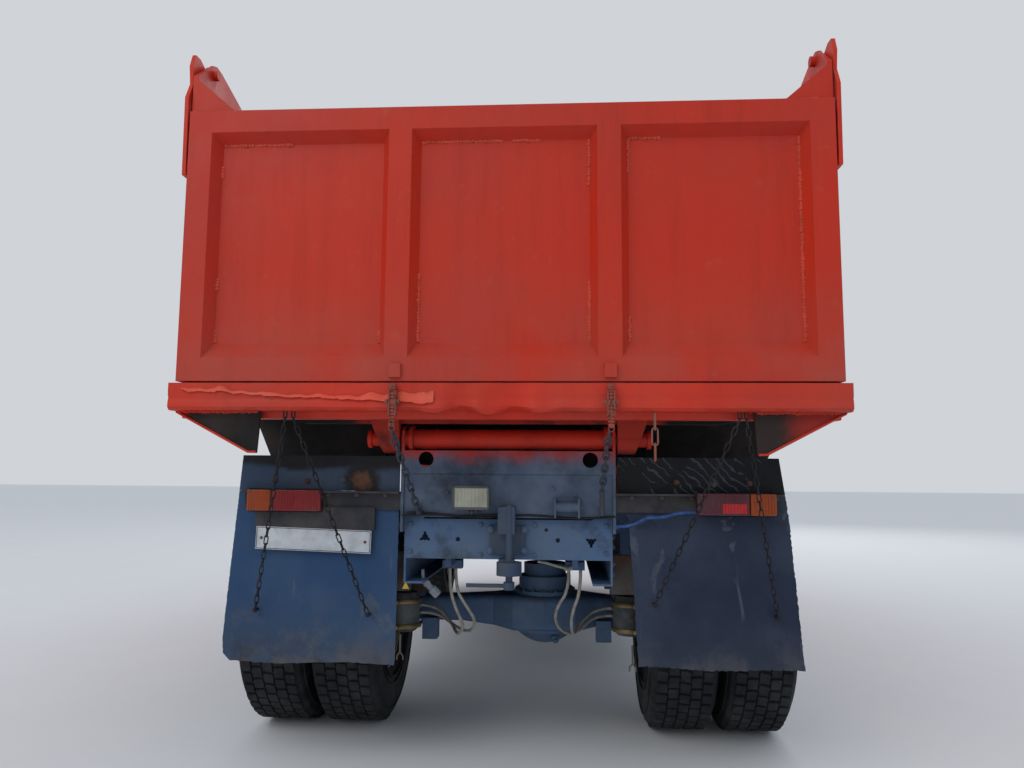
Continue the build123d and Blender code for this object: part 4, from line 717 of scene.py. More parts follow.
def flap(name, side, look, top, foot, fray, swing):
    """Hanging sheet of rubber with slow waves and a frayed edge."""
    edges = FLAP_EDGES[side]
    rng = random.Random(len(name) + side)
    wide, high = 60, 70
    frayed = [rng.uniform(0, fray) for _ in range(wide + 1)]
    ragged = [[rng.uniform(-fray, fray * 0.3) * 0.5 for _ in range(high + 1)] for _ in range(2)]

    def place(i, j, thick):
        u, v = i / wide, (j / high) ** 0.9
        z = foot + (top - foot) * v
        x0 = between(edges, z, 1) - ragged[0][j]
        x1 = between(edges, z, 2) + ragged[1][j]
        x = x0 + (x1 - x0) * u
        z += (frayed[i] + 0.004 * math.sin(u * 8 + side)) * (1 - v) ** 6
        free = (1 - v) ** 1.4 * swing
        wave = ripple(x * 3.2 + side * 7, z * 2.2, 0.5) * 0.016 * free
        wave += ripple(x * 11, z * 9, 4.0) * 0.004 * free
        curl = 0.010 * max(0.0, 1 - v / 0.08) ** 2 * swing
        return Vector((side * x, FLAP_Y + 0.005 + wave - curl + thick * 0.0028, z))

    shape = Shape()
    rims = []
    for thick in (-1, 1):
        rows = [[place(i, j, thick) for i in range(wide + 1)] for j in range(high + 1)]
        shape.sheet(rows)
        rim = rows[0] + [row[-1] for row in rows[1:]] + rows[-1][-2::-1]
        rims.append(rim + [row[0] for row in rows[-2::-1]])
    shape.sheet(rims)
    bmesh.ops.remove_doubles(shape.bm, verts=shape.bm.verts, dist=1e-6)
    return shape.done(name, look, "root", "rubber", sharp=60)


def mudflaps():
    left = flap("mudflap_left", -1, "flap_left", 1.120, 0.434, 0.003, 1.0)
    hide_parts("mudflaps")
    flap("mudflap_right", 1, "flap_right", 1.120, 0.440, 0.006, 0.7)
    flap("flap_panel_left", -1, "panel_left", 1.266, 1.118, 0.001, 0.0)
    flap("flap_panel_right", 1, "scuffed", 1.266, 1.118, 0.001, 0.0)
    shape = Shape()
    for side in (-1, 1):
        for x in (0.50, 0.62, 0.74, 0.86, 0.98, 1.07):
            shape.bolt((side * x, FLAP_Y - 0.0095, 1.108), -Y, 0.009)
        for x, z in ((0.97, 1.165), (0.83, 1.160), (0.68, 1.168)):
            shape.bolt((side * x, FLAP_Y, z), -Y, 0.010)
    # forked hooks hanging at the flaps' inner corners
    y = FLAP_Y + 0.012
    for x, z in ((-0.430, 0.50), (0.500, 0.475)):
        shape.rod((x, y, z + 0.05), (x, y, z - 0.02), 0.004, 8)
        for prong in (x - 0.012, x + 0.012):
            shape.tube([(x, y, z - 0.02), (prong, y, z - 0.034), (prong, y, z - 0.05)], 0.0035, 8)
    shape.done("flap_bolts", "steel", "root", "steel")


# Rear lamps and plate
LAMP_X, LAMP_Z = (0.747, 1.058), (1.037, 1.130)
LAMP_FIELDS = {
    # x of each field's ends, look
    "left": [(0.751, 0.954, "red_lens"), (0.957, 1.054, "amber_lens")],
    "right": [(0.751, 0.951, "dull_lens"), (0.954, 1.054, "amber_lens")],
}


def rear_lamp(side, name):
    """Combination lamp: housing, clear of its lens, a wide red field and an amber end."""
    low, top = LAMP_Z
    shape = Shape()
    shape.box(span(side, *LAMP_X), (LAMP_Y + 0.024, -2.7803), LAMP_Z, 0.006)
    housing = shape.done(f"lamp_housing_{name}", "rubber", "root", "rubber")
    for number, (x0, x1, look) in enumerate(LAMP_FIELDS[name]):
        part = Shape()
        x = span(side, x0, x1)
        part.box(x, (LAMP_Y + 0.001, LAMP_Y + 0.026), (low + 0.004, top - 0.004), 0.005)
        for rib in range(int((x1 - x0) / 0.012)):
            at = x[0] + 0.008 + rib * 0.012
            if at < x[1] - 0.004:
                part.box((at, at + 0.0016), (LAMP_Y + 0.0002, LAMP_Y + 0.003), (low + 0.010, top - 0.010))
        part.done(f"lamp_lens_{name}_{number}", look, "root", "lamp_lens")
    if side > 0:
        window = Shape()
        window.box((0.846, 0.940), (LAMP_Y + 0.0003, LAMP_Y + 0.004), (low + 0.012, low + 0.050), 0.0015)
        window.done("lamp_lens_right_window", "bright_lens", "root", "lamp_lens")
    screws = Shape()
    for x in (LAMP_X[0] + 0.018, LAMP_X[1] - 0.018, LAMP_X[1] - 0.118):
        for z in (low + 0.012, top - 0.012):
            screws.rod((side * x, LAMP_Y + 0.002, z), (side * x, LAMP_Y + 0.0002, z), 0.0035, 10)
    screws.done(f"lamp_screws_{name}", "steel", "root", "steel")
    return housing


def lamps():
    housing = [rear_lamp(side, name) for side, name in SIDES][0]
    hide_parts("rear_lamps")


def plate():
    """Blank number plate, hung a little askew, with a dark line round its face."""
    (x0, x1), (z0, z1), y, line = (-1.030, -0.550), (0.872, 0.976), FLAP_Y - 0.030, 0.0022
    middle = Matrix.Translation((-0.79, 0, 0.924))
    askew = middle @ Matrix.Rotation(math.radians(1.7), 4, "Y") @ middle.inverted()
    shape, rim, bolts = Shape(), Shape(), Shape()
    shape.box((x0 + 0.001, x1 - 0.001), (y + 0.0008, y + 0.0035), (z0 + 0.006, z1 - 0.006), 0.0012)
    in_x, in_y, in_z = (x0 + 0.004, x1 - 0.004), (y + 0.0002, y + 0.0012), (z0 + 0.009, z1 - 0.009)
    for low in (in_z[0], in_z[1] - line):
        rim.box(in_x, in_y, (low, low + line))
    for low in (in_x[0], in_x[1] - line):
        rim.box((low, low + line), in_y, in_z)
    for x in (-1.005, -0.575):
        bolts.rod((x, y + 0.001, 0.924), (x, y - 0.002, 0.924), 0.006, 12, 0.001)
    for made in (shape, rim, bolts):
        made.bm.transform(askew)
    shape.done("plate_blank", "pale", "root", "plate_white", ["number_plate"])
    rim.done("plate_border", "rubber", "root", "rubber")
    bolts.done("plate_screws", "steel", "root", "steel")


# Chains, each from its top to its foot
FLAP_CHAINS = [
    ((-0.821, -3.055, 1.400), (-1.020, -2.755, 0.641)),
    ((-0.790, -3.055, 1.400), (-0.556, -2.755, 0.630)),
    ((0.867, -3.055, 1.400), (0.586, -2.755, 0.689)),
    ((0.891, -3.055, 1.400), (1.059, -2.755, 0.648)),
]
LATCH_CHAINS = [
    ((-0.399, -3.125, 1.352), (-0.353, -2.79, 1.044)),
    ((0.390, -3.125, 1.352), (0.380, -2.79, 1.136)),
]


def chain_run(shape, start, end, pitch=0.033, wire=0.0052, width=0.0195):
    """Oval links between two points, each a quarter turn from the last."""
    start, end = Vector(start), Vector(end)
    count = round((end - start).length / pitch)
    along = (end - start).normalized()
    side = along.cross(Y).normalized()
    for number in range(count):
        middle = start.lerp(end, (number + 0.5) / count)
        across = side if number % 2 else along.cross(side)
        shape.link(middle, along, across, (end - start).length / count + 0.0002, width, wire)


def chains():
    shape = Shape()
    for top, foot in FLAP_CHAINS:
        chain_run(shape, top, foot)
        for x in (-0.006, 0.006):
            strand = Vector(top) + X * x
            shape.tube([strand, strand + Z * 0.0255], 0.003, 6)
        shape.tube([foot, Vector(foot) + Y * 0.0245], 0.007, 8)
        shape.bolt(Vector(foot) - Y * 0.002, -Y, 0.008)
    piece = shape.done("flap_chain_links", "chain", None, "steel", sharp=40)
    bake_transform(piece)
    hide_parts("flap_chains")
    shape = Shape()
    for top, (x, y, z) in LATCH_CHAINS:
        chain_run(shape, top, (x, y, z), 0.042, 0.0088, 0.030)
        shape.rod((x, y, 1.033), (x, y, z + 0.002), 0.0105, 14, 0.002)
        shape.box((x - 0.008, x + 0.008), (y, -2.7355), (1.033, 1.047), 0.002)
    piece = shape.done("latch_chain_links", "latch_chain", None, "steel", sharp=40)
    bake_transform(piece)
    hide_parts("latch_chains")
    shape = Shape()
    chain_run(shape, (0.557, -3.083, 1.4185), (0.557, -3.083, 1.250), 0.056, 0.007, 0.028)
    shape.done("spare_chain_links", "spare_chain", "bed", "paint_orange")


def latches():
    """Screw latches on the sill: forked cheeks, a ribbed turnbuckle and an eye below."""
    shape = Shape()
    y, pin_z = -3.127, 1.455
    for x in (-0.398, 0.398):
        for cheek in (x - 0.0155, x + 0.0085):
            shape.box((cheek, cheek + 0.007), (-3.137, -3.1052), (1.402, 1.498), 0.003)
        shape.box((x - 0.0135, x + 0.0135), (-3.138, -3.116), (1.500, 1.524), 0.004)
        shape.rod((x - 0.026, y, pin_z), (x + 0.026, y, pin_z), 0.0075, 14, 0.001)
        for end, out in ((-0.0155, -X), (0.0155, X)):
            shape.bolt((x + end, y, pin_z), out, 0.0105)
        for k in range(11):
            for place in (-0.0052, 0.0052):
                rib = [(0.0058, -0.0045), (0.0078, 0), (0.0058, 0.0045)]
                shape.lathe(rib, (x + place, y, 1.372 + k * 0.0125), Z, 12)
        shape.rod((x, y, 1.368), (x, y, 1.515), 0.005, 10)
        shape.lathe([(0.0085, -0.005), (0.0125, 0.0), (0.0085, 0.005)], (x, y, 1.360), Y, 16, closed=True)
        shape.box((x - 0.011, x + 0.011), (-3.140, -3.115), (1.361, 1.378), 0.004)
    shape.done("gate_latch_screws", "latch", "bed", "paint_orange", ["latches_and_chain"])


# Rear end of the bed
def bearer_ends():
    """Deep outer ends of the two bearers over the rear axle, near black as painted shade under the bed."""
    shape = Shape()
    outline = [(0.925, 1.2705), (1.150, 1.2705), (1.236, 1.466), (0.925, 1.466)]
    for rear in (-2.2995, -1.8595):
        for side in (-1, 1):
            shape.cross_plate([(side * x, z) for x, z in outline], rear, rear + 0.059)
    shape.done("bearer_ends", "under_bed_shade", "bed", "paint_orange")


def sill():
    """The bed's dented rear sill, the beam behind it, its end gussets and its torn lip."""
    shape = Shape()
    columns, half, (low, top) = 220, 1.258, SILL_Z

    def face(x, t):
        z = low + (top - low) * t
        hump = math.exp(-((x + 0.07) / 0.24) ** 2)
        dent = hump * (0.5 + 0.5 * math.sin(x * 34 + 1 + 2 * ripple(x * 7, 4, 1))) * (1 - t) ** 0.9 * 0.040
        dent += 0.0045 * ripple(x * 5, z * 9, 2) + 0.0016 * ripple(x * 21, z * 30, 7)
        fold = 0.004 * math.exp(-((t - 0.42) / 0.06) ** 2)
        z += (hump * 0.014 * math.sin(x * 31) + 0.002 * ripple(x * 4, 1, 1)) * (1 - t) ** 3
        return Vector((x, SILL_REAR_Y + 0.002 + dent + fold, z))

    rows = []
    for k in range(columns + 1):
        x = -half + 2 * half * k / columns
        outer = [face(x, t / 9) for t in range(10)]
        outer[0].y += 0.012
        lip = outer[0] + Vector((0, 0.020, -0.001))
        back = ((SILL_REAR_Y + 0.004, top), (SILL_FRONT_Y, top), (SILL_FRONT_Y, low))
        rows.append([lip] + outer + [Vector((x, y, z)) for y, z in back] + [lip])
    shape.sheet(rows)
    for end in (rows[0], rows[-1]):
        shape.bm.faces.new([shape.bm.verts.new(p) for p in end[:-1]])
    shape.box((-1.243, 1.243), (SILL_FRONT_Y, -2.954), (1.400, 1.4895), 0.004)
    shape.done("bed_sill_dented", "bed", "bed", "paint_orange", ["bed_sill"], 40)
    outline = [(0.920, 1.427), (1.255, 1.427), (1.250, 1.418), (0.960, 1.268), (0.930, 1.268)]
    for side, name in SIDES:
        gusset, rim = Shape(), Shape()
        gusset.cross_plate([(side * x, z) for x, z in outline], -3.0448, -3.0352)
        # left gusset is near black as painted shade; the right one is darkened orange fading to painted shade
        gusset.done(f"sill_gusset_{name}", "under_bed_shade" if side < 0 else "gusset", "bed", "paint_orange")
        corners = ((1.247, 1.422), (0.962, 1.272), (0.932, 1.272))
        rim.tube([(side * x, -3.049, z) for x, z in corners], 0.005, 6)
        rim.done(f"gusset_rim_{name}", "bed", "bed", "paint_orange")
    # torn strip of sheet, bent outwards, in a light orange that is painted sunlight
    torn = Shape()
    rng = random.Random(12)
    low_edge, high_edge = [], []
    for k in range(91):
        x = -1.205 + 0.955 * k / 90
        z = 1.503 - 0.050 * (k / 90) ** 0.8 + 0.012 * ripple(k * 0.17, 1, 8) + rng.uniform(-0.0012, 0.0012)
        wide = 0.008 + 0.014 * abs(ripple(k * 0.11, 3, 3)) + 0.032 * max(0.0, (k - 60) / 30)
        out = 0.004 + 0.006 * abs(ripple(k * 0.21, 9, 3))
        low_edge.append(Vector((x, SILL_REAR_Y - out, z - rng.uniform(0.0, 0.003))))
        high_edge.append(Vector((x, SILL_REAR_Y + 0.0005, z + wide)))
    high_back = [p + Vector((0, 0.002, 0.001)) for p in high_edge]
    torn.sheet([low_edge, high_edge, high_back, [p + Y * 0.002 for p in low_edge], low_edge])
    torn.done("sill_torn_lip", "torn", "bed", "paint_orange", sharp=70)


# Hoses and conduit: length, then points from the frame to the far end
HOSES = {
    "brake_hose_left_rear": (0.752, [
        (-0.262, -2.505, 0.790), (-0.262, -2.505, 0.700), (-0.238, -2.470, 0.610), (-0.208, -2.410, 0.530),
        (-0.248, -2.330, 0.470), (-0.298, -2.168, 0.505), (-0.385, -2.100, 0.568), (-0.4537, -2.100, 0.568),
    ]),
    "brake_hose_left_front": (0.747, [
        (-0.240, -2.480, 0.790), (-0.240, -2.480, 0.700), (-0.196, -2.440, 0.620), (-0.158, -2.380, 0.545),
        (-0.196, -2.300, 0.480), (-0.280, -2.175, 0.484), (-0.370, -2.100, 0.534), (-0.4537, -2.100, 0.534),
    ]),
    "brake_hose_right_rear": (0.728, [
        (0.300, -2.505, 0.790), (0.300, -2.505, 0.700), (0.262, -2.460, 0.600), (0.262, -2.395, 0.520),
        (0.275, -2.310, 0.480), (0.300, -2.168, 0.508), (0.385, -2.100, 0.568), (0.4537, -2.100, 0.568),
    ]),
    "brake_hose_right_front": (0.725, [
        (0.250, -2.480, 0.790), (0.250, -2.480, 0.700), (0.196, -2.430, 0.620), (0.190, -2.350, 0.540),
        (0.235, -2.270, 0.478), (0.300, -2.165, 0.470), (0.372, -2.100, 0.534), (0.4537, -2.100, 0.534),
    ]),
    "lamp_conduit": (0.327, [
        (0.4373, -2.739, 0.990), (0.495, -2.739, 0.990), (0.555, -2.770, 1.030),
        (0.620, -2.785, 1.030), (0.680, -2.790, 1.052), (0.7447, -2.790, 1.052),
    ]),
}
HOSE_R = 0.007


def hoses():
    for name, (length, points) in HOSES.items():
        curve = bpy.data.curves.new(f"{name}_curve", "CURVE")
        curve.dimensions = "3D"
        curve.resolution_u = 12
        curve.bevel_depth = HOSE_R
        curve.bevel_resolution = 4
        curve.use_fill_caps = True
        spline = curve.splines.new("NURBS")
        spline.points.add(len(points) - 1)
        for point, place in zip(spline.points, points):
            point.co = (*place, 1)
        spline.order_u = 3
        spline.use_endpoint_u = True
        hose = add_object(f"{name}_tube", curve)
        curve.materials.append(LOOKS["conduit" if name == "lamp_conduit" else "hose"])
        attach(hose, "root")
        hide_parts(name)


# Rear crossmember and what is fixed to it
REAR_BOLTS = [
    # y, size, x and z of each
    (RAIL_REAR_Y, 0.009, [(-0.40, 0.99), (-0.40, 0.88), (0.40, 0.99), (0.40, 0.88)]),
    (RAIL_REAR_Y, 0.009, [(-0.11, 0.99), (0.11, 0.99), (-0.11, 0.87), (0.11, 0.87)]),
    (RAIL_REAR_Y - 0.016, 0.013, [(-0.068, 0.973), (0.069, 0.973), (-0.068, 0.888), (0.069, 0.888)]),
    (PLATE_Y, 0.008, [(-0.245, 1.120), (0.185, 1.140), (0.275, 1.115), (-0.36, 1.06), (0.36, 1.06)]),
]


def rear_fittings():
    shape = Shape()
    for y, size, places in REAR_BOLTS:
        for x, z in places:
            shape.bolt((x, y, z), -Y, size)
    for side in (-1, 1):
        for z in (0.79, 0.83, 0.90, 0.94):
            for y in (-2.64, -2.56):
                shape.bolt((side * RAIL_X, y, z), X * side, 0.011)
        for y in (-2.70, -2.62, -2.54):
            shape.bolt((side * 0.437, y, 0.985), X * side, 0.011)
    shape.done("rear_frame_bolts", "chassis", "root", "paint_chassis")
    lines = Shape()
    sway = [(-2.742 - 0.004 * math.sin(k * 1.7), 1.026 + 0.006 * math.sin(k * 1.1)) for k in range(13)]
    lines.tube([(-0.43 + 0.072 * k, *sway[k]) for k in range(13)], 0.0045)
    lines.tube([(-0.41 + 0.06 * k, -2.752, 1.033 + 0.007 * math.sin(k * 0.9 + 1)) for k in range(8)], 0.0035)
    lines.done("rear_cable_run", "rubber", "root", "rubber")
    pipe = Shape()
    bends = [(0.12, -2.6, 0.835), (0.16, -2.6, 0.828), (0.2, -2.6, 0.816), (0.238, -2.58, 0.806)]
    pipe.tube(bends, 0.006, 10)
    pipe.rod((0.232, -2.58, 0.806), (0.262, -2.55, 0.804), 0.011, 12, 0.002)
    pipe.done("air_pipe", "hose", "root", "paint_chassis")
    fitting = Shape()
    start, end = Vector((-0.362, -2.60, 0.752)), Vector((-0.294, -2.60, 0.686))
    along = (end - start).normalized()
    body = [(0.010, 0), (0.013, 0.006), (0.013, 0.050), (0.019, 0.054), (0.019, 0.086), (0.015, 0.092)]
    fitting.tube([start - along * 0.004 + Z * 0.040, start - along * 0.002 + Z * 0.012, start], 0.007, 10)
    fitting.lathe(body, start, along, 20)
    fitting.lathe([(0.016, 0.018), (0.017, 0.024), (0.016, 0.030)], start, along, 6)
    fitting.done("air_fitting", "fitting", "root", "plate_white")
    tag = Shape()
    tag.cross_plate([(-0.430, 0.728), (-0.400, 0.728), (-0.415, 0.756)], -2.7085, -2.7065)
    tag.done("yellow_tag", "tag", "root", "plate_white")


def work_lamp():
    x, z = (-0.214, -0.064), (1.054, 1.149)
    (x0, x1), (z0, z1) = x, z
    body, bezel, face = Shape(), Shape(), Shape()
    body.box(x, (-2.820, -2.785), z, 0.010)
    body.done("work_lamp_body", "rubber", "root", "rubber", ["work_lamp"])
    for bar in ((x, (z0, z0 + 0.010)), (x, (z1 - 0.010, z1)), ((x0, x0 + 0.010), z), ((x1 - 0.010, x1), z)):
        bezel.box(bar[0], (-2.830, -2.816), bar[1], 0.0035)
    for lug in (-0.160, -0.128):
        bezel.box((lug, lug + 0.010), (-2.795, -2.7353), (1.040, 1.110), 0.002)
    bezel.bolt((-0.139, -2.80, 1.046), -Y, 0.006)
    bezel.done("work_lamp_bezel", "lamp_frame", "root", "plate_white")
    face.box((x0 + 0.009, x1 - 0.009), (-2.826, -2.818), (z0 + 0.009, z1 - 0.009), 0.002)
    for k in range(9):
        rib = x0 + 0.018 + k * 0.0142
        face.box((rib, rib + 0.0035), (-2.8285, -2.825), (z0 + 0.012, z1 - 0.012), 0.001)
    face.done("work_lamp_lens", "beige", "root", "head_lens")
    socket = Shape()
    for cheek in (0.190, 0.284):
        socket.box((cheek, cheek + 0.008), (-2.790, -2.738), (1.023, 1.102), 0.002)
    socket.box((0.186, 0.296), (-2.740, -2.7353), (1.023, 1.102), 0.001)
    socket.rod((0.190, -2.770, 1.066), (0.292, -2.770, 1.066), 0.020, 18, 0.004)
    for cheek, out in ((0.190, -X), (0.292, X)):
        socket.bolt((cheek, -2.770, 1.066), out, 0.008)
    socket.done("socket_bracket", "subframe", "root", "paint_chassis")


def axle_details():
    shape = Shape()
    for k in range(16):
        turn = 2 * math.pi * k / 16
        for radius, z, out, size in ((0.139, 0.632, Z, 0.009), (0.160, 0.444, -Z, 0.007)):
            place = (DIFF_X + radius * math.cos(turn), REAR_AXLE_Y + radius * math.sin(turn), z)
            shape.bolt(place, out, size)
    # filler plug on the dome's rear, standing on a small boss
    boss = (0.190, REAR_AXLE_Y - 0.140, 0.410)
    shape.rod((0.185, REAR_AXLE_Y - 0.120, 0.424), boss, 0.020, 16, 0.003)
    shape.rod(boss, (0.193, REAR_AXLE_Y - 0.150, 0.403), 0.013, 6, 0.002)
    for side in (-1, 1):
        for x in (side * 0.468, side * 0.552):
            for y in (REAR_AXLE_Y - 0.035, REAR_AXLE_Y + 0.035):
                shape.tube([(x, y, 0.468), (x, y, 0.70)], 0.010, 10)
                shape.bolt((x, y, 0.472), -Z, 0.014)
    shape.done("rear_axle_bolts", "axle", "root", "cast_iron")
    rings = Shape()
    for side in (-1, 1):
        for z in (0.476, 0.592):
            rings.lathe([(0.0855, -0.009), (0.0885, 0), (0.0855, 0.009)], (side * 0.54, CHAMBER_Y, z), Z, 40)
            y = CHAMBER_Y - 0.097
            lug = (CHAMBER_Y - 0.104, CHAMBER_Y - 0.080)
            rings.box(span(side, 0.548, 0.574), lug, (z - 0.01, z + 0.01), 0.003)
            rings.rod((side * 0.540, y, z), (side * 0.584, y, z), 0.0045, 8)
        for z in (0.534, 0.568):
            rings.lathe([(0.0125, 0), (0.0125, 0.012)], (side * 0.456, CHAMBER_Y, z), X * side, 6)
    rings.done("brake_clamp_rings", "gold", "root", "plate_white")


# Cab
CAB_BOXES = [
    # name, look, body, slot, x, y, z, bevel
    ("mirror_glass", "clear_lens", "door", "head_lens", (1.166, 1.246), (2.798, 2.801), (2.02, 2.43), 0.001),
    ("mirror_shell", "trim", "door", "cab_trim", (1.157, 1.255), (2.8015, 2.857), (2.004, 2.446), 0.012),
    ("turn_signal", "amber_lens", "cab", "lamp_lens", (0.965, 1.085), (3.082, 3.097), (1.525, 1.590), 0.008),
    ("roof_marker", "amber_lens", "cab", "lamp_lens", (0.88, 0.98), (2.755, 2.800), (2.828, 2.856), 0.010),
]


def cab_details():
    trim, steps = Shape(), Shape()
    for x in (-0.55, 0.0, 0.55):
        trim.tube([(x, 3.062, 1.935), (x + 0.03, 3.052, 2.02), (x + 0.30, 3.012, 2.25)], 0.006)
        trim.tube([(x + 0.12, 3.038, 2.10), (x + 0.46, 2.992, 2.38)], 0.005, 6)
    trim.done("wipers", "rubber", "cab", "cab_trim")
    for side in (-1, 1):
        for z in (0.530, 0.830):
            for y in [2.36 + k * 0.052 for k in range(9)]:
                steps.box(span(side, 0.952, 1.138), (y, y + 0.016), (z, z + 0.006), 0.002)
    steps.done("step_treads", "steel", "root", "steel")
    for side, name in SIDES:
        for piece, look, body, slot, x, y, z, bevel in CAB_BOXES:
            shape = Shape()
            shape.box(span(side, *x), y, z, bevel)
            shape.done(f"{piece}_{name}", look, f"door_{name}" if body == "door" else body, slot)
        seal, lamp = Shape(), Shape()
        ring = [(1.972, 1.992), (2.878, 1.992), (2.768, 2.608), (1.972, 2.608)]
        seal.tube([(side * 1.1515, y, z) for y, z in ring], 0.008, closed=True)
        seal.done(f"window_seal_{name}", "rubber", f"door_{name}", "rubber")
        for x, rim_r, dome_r in ((0.955, 0.062, 0.050), (0.815, 0.050, 0.040)):
            dome = [(rim_r, 0), (rim_r, 0.006), (dome_r, 0.0085), (0.0, 0.0095)]
            lamp.lathe(dome, (side * x, HEADLAMP_Y, 0.68), Y)
        lamp.done(f"headlamp_rings_{name}", "clear_lens", "root", "head_lens")
    seal = Shape()
    # near the foot and near the head of the leaning glass
    (y0, z0), (y1, z1) = [(3.06 - 0.16 * t, 1.95 + 0.83 * t) for t in (0.06, 0.9)]
    seal.tube([(-1.04, y0, z0), (1.04, y0, z0), (1.04, y1, z1), (-1.04, y1, z1)], 0.011, closed=True)
    seal.done("windscreen_seal", "rubber", "cab", "rubber")


def mesh_of(piece):
    """The piece's mesh as its modifiers leave it."""
    return bpy.data.meshes.new_from_object(piece.evaluated_get(bpy.context.evaluated_depsgraph_get()))


def middle_of(mesh):
    return sum((v.co for v in mesh.vertices), Vector()) / len(mesh.vertices)


VOXEL, CLOTH_FRAMES = 0.012, 20


def swell(mesh, cap):
    """Fills a closed shape by cloth simulation; no point moves further than cap."""
    pad = add_object("pad", mesh)
    remesh = pad.modifiers.new("remesh", "REMESH")
    remesh.mode = "VOXEL"
    remesh.voxel_size = VOXEL
    before = mesh_of(pad)
    pad.modifiers.clear()
    pad.data = before
    cloth = pad.modifiers.new("cloth", "CLOTH")
    cloth.settings.use_pressure = True
    cloth.settings.uniform_pressure_force = 4
    cloth.settings.effector_weights.gravity = 0
    for number in range(CLOTH_FRAMES):
        bpy.context.scene.frame_set(number + 1)
    after = mesh_of(pad)
    bpy.context.scene.frame_set(1)
    pad.modifiers.clear()
    drift = middle_of(after) - middle_of(before)
    for start, end in zip(before.vertices, after.vertices):
        move = end.co - start.co - drift
        start.co = start.co + move * min(1.0, cap / max(move.length, 1e-9))
    bpy.data.objects.remove(pad)
    return before


def pad_shape(size):
    """Slab with rounded rims, a little smaller than the finished pad."""
    bm = bmesh.new()
    bmesh.ops.create_cube(bm, size=1, matrix=Matrix.Diagonal((*[d - 0.028 for d in size], 1)))
    bmesh.ops.bevel(bm, geom=list(bm.edges), offset=0.022, segments=4, affect="EDGES", profile=0.5)
    return mesh_from(bm, "pad")


# place of a seat's middle, room round a pad in its box, and how far a pad's skin may move
SEAT_X, SEAT_GAP, SEAT_SWELL = 0.56, 0.0008, 0.013
SEAT_PARTS = [
    # name, middle's y and z, size, axis of its thickness, lean in degrees
    ("cushion", 1.945, 1.530, (0.50, 0.49, 0.12), 2, 0.0),
    ("back", 1.543, 1.899, (0.48, 0.115, 0.60), 1, 6.9),
]


def seats():
    """Padded seats: each cushion and back is filled by simulation, then sewn in channels."""
    for part, y, z, size, thin, lean in SEAT_PARTS:
        mesh = swell(pad_shape(size), SEAT_SWELL)
        long = 3 - thin
        for vertex in mesh.vertices:
            u = [2 * vertex.co[k] / size[k] for k in range(3)]
            face = max(0.0, 1 - abs(u[0]) ** 4) * max(0.0, 1 - abs(u[long]) ** 4)
            seams = sum(math.exp(-((u[0] - place) / 0.03) ** 2) for place in (-0.52, 0.0, 0.52))
            welt = math.exp(-((max(abs(u[0]), abs(u[long])) - 0.80) / 0.03) ** 2)
            seams = seams * (abs(u[long]) < 0.80) + welt
            vertex.co[thin] -= math.copysign(0.007 * min(1.0, seams) * (0.3 + 0.7 * face), u[thin])
            for k in range(3):
                most = size[k] / 2 - SEAT_GAP
                vertex.co[k] = max(-most, min(most, vertex.co[k]))
        for polygon in mesh.polygons:
            polygon.use_smooth = True
        mesh.materials.clear()
        mesh.materials.append(LOOKS["cloth"])
        turn = Matrix.Rotation(math.radians(lean), 4, "X")
        for side, name in SIDES:
            copy = mesh.copy()
            copy.transform(Matrix.Translation((side * SEAT_X, y, z)) @ turn)
            piece = add_object(f"seat_{part}_{name}", copy)
            piece.modifiers.new("smooth", "SUBSURF").levels = 1
            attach(piece, "cab")
            if name == "left" and part == "cushion":
                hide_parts("cab_seats")
    shape = Shape()
    for side in (-1, 1):
        x = side * SEAT_X
        shape.box((x - 0.20, x + 0.20), (1.66, 2.11), (1.2303, 1.469), 0.012)
        shape.box((x - 0.235, x + 0.235), (1.525, 1.70), (1.471, 1.588), 0.02)
        shape.rod((x + side * 0.205, 1.72, 1.44), (x + side * 0.235, 1.72, 1.44), 0.03, 20, 0.004)
    shape.done("seat_bases", "trim", "cab", "cab_trim")


# Camera, light and floor
CAMERA_PLACE = Vector((0.225, -6.003, 1.195))
YAW, PITCH, ROLL = math.radians(3.68), math.radians(6.45), math.radians(0.447)
FOCAL_PIXELS, WIDTH_PIXELS, SENSOR = 799, 1024, 36
LIGHT_SIZE, LIGHT_POWER = (8, 6), 300
FLOOR_HALF = 60


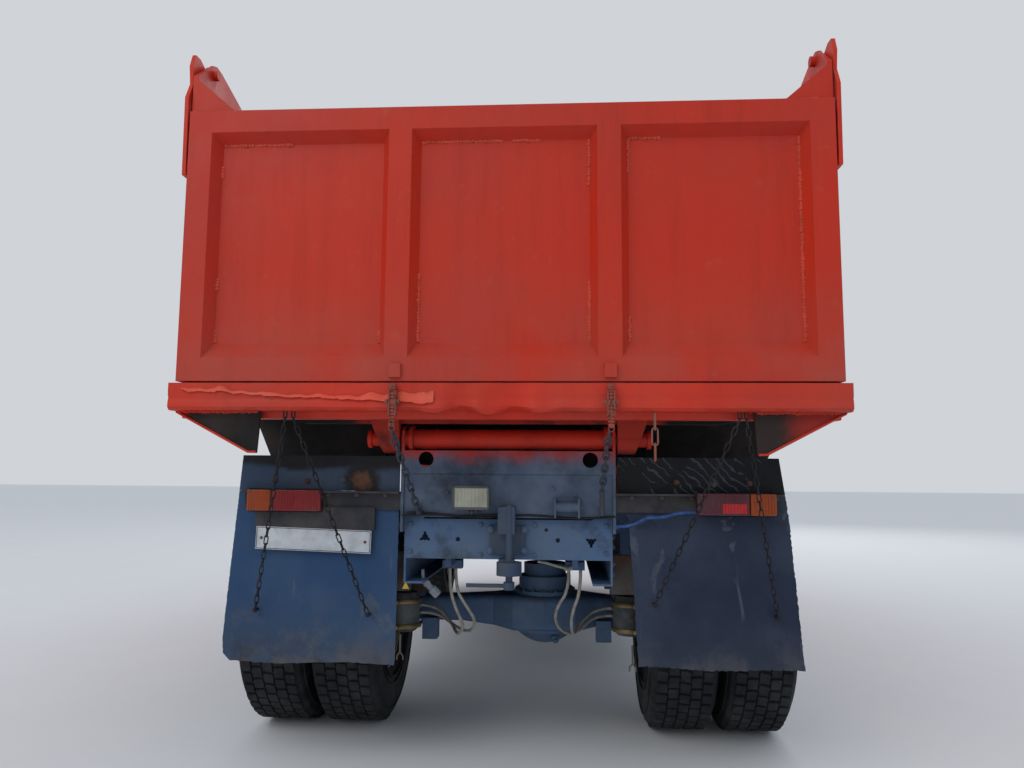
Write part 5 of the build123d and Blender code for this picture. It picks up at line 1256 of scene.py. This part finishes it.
def camera():
    forward = Vector((-math.sin(YAW) * math.cos(PITCH), math.cos(YAW) * math.cos(PITCH), math.sin(PITCH)))
    right = Vector((math.cos(YAW), math.sin(YAW), 0))
    up = right.cross(forward)
    right, up = right * math.cos(ROLL) + up * math.sin(ROLL), up * math.cos(ROLL) - right * math.sin(ROLL)
    data = bpy.data.cameras.new("camera")
    data.sensor_width = SENSOR
    data.lens = FOCAL_PIXELS / WIDTH_PIXELS * SENSOR
    view = add_object("camera", data)
    view.matrix_world = Matrix.Translation(CAMERA_PLACE) @ Matrix((right, up, -forward)).transposed().to_4x4()
    bpy.context.scene.camera = view


def area_light(name, place, target, color):
    data = bpy.data.lights.new(name, "AREA")
    data.shape = "RECTANGLE"
    data.size, data.size_y = LIGHT_SIZE
    data.energy = LIGHT_POWER
    data.color = color
    lamp = add_object(name, data)
    lamp.location = place
    lamp.rotation_euler = (Vector(target) - Vector(place)).to_track_quat("-Z", "Y").to_euler()


def stage():
    scene = bpy.context.scene
    scene.view_settings.view_transform = "Standard"
    world = bpy.data.worlds.new("studio")
    scene.world = world
    world.use_nodes = True
    # what the camera sees is paler than the light that falls on the truck
    sky = Nodes(world.node_tree)
    rays = sky.node("LightPath").outputs
    seen = sky.node("Math", {0: rays["Is Camera Ray"], 1: rays["Is Transmission Ray"]}, operation="MAXIMUM")
    tones = {"Factor": seen.outputs["Value"], 6: (0.66, 0.70, 0.76), 7: (0.74, 0.77, 0.81)}
    tone = sky.node("Mix", tones, data_type="RGBA").outputs[2]
    sky.put(sky.tree.nodes["Background"], {"Color": tone, "Strength": 0.85})
    area_light("key", (-6, -11, 8.5), (0, -2, 1.4), (1, 0.98, 0.95))
    area_light("front", (4, 12, 8), (0, 1, 1.5), (1, 1, 1))
    bm = bmesh.new()
    bmesh.ops.create_grid(bm, x_segments=1, y_segments=1, size=FLOOR_HALF)
    floor = add_object("floor", mesh_from(bm, "floor"))
    floor.location.z = -0.001
    look = Look("floor_paint", rough=0.9)
    look.tone = look.mix(look.noise(2.0), (0.84, 0.85, 0.86), (0.88, 0.89, 0.90))
    floor.data.materials.append(look.finish())


finishes()
wheels()
gate_welds()
bed_welds()
mudflaps()
lamps()
plate()
chains()
latches()
bearer_ends()
sill()
hoses()
rear_fittings()
work_lamp()
axle_details()
cab_details()
seats()
camera()
stage()
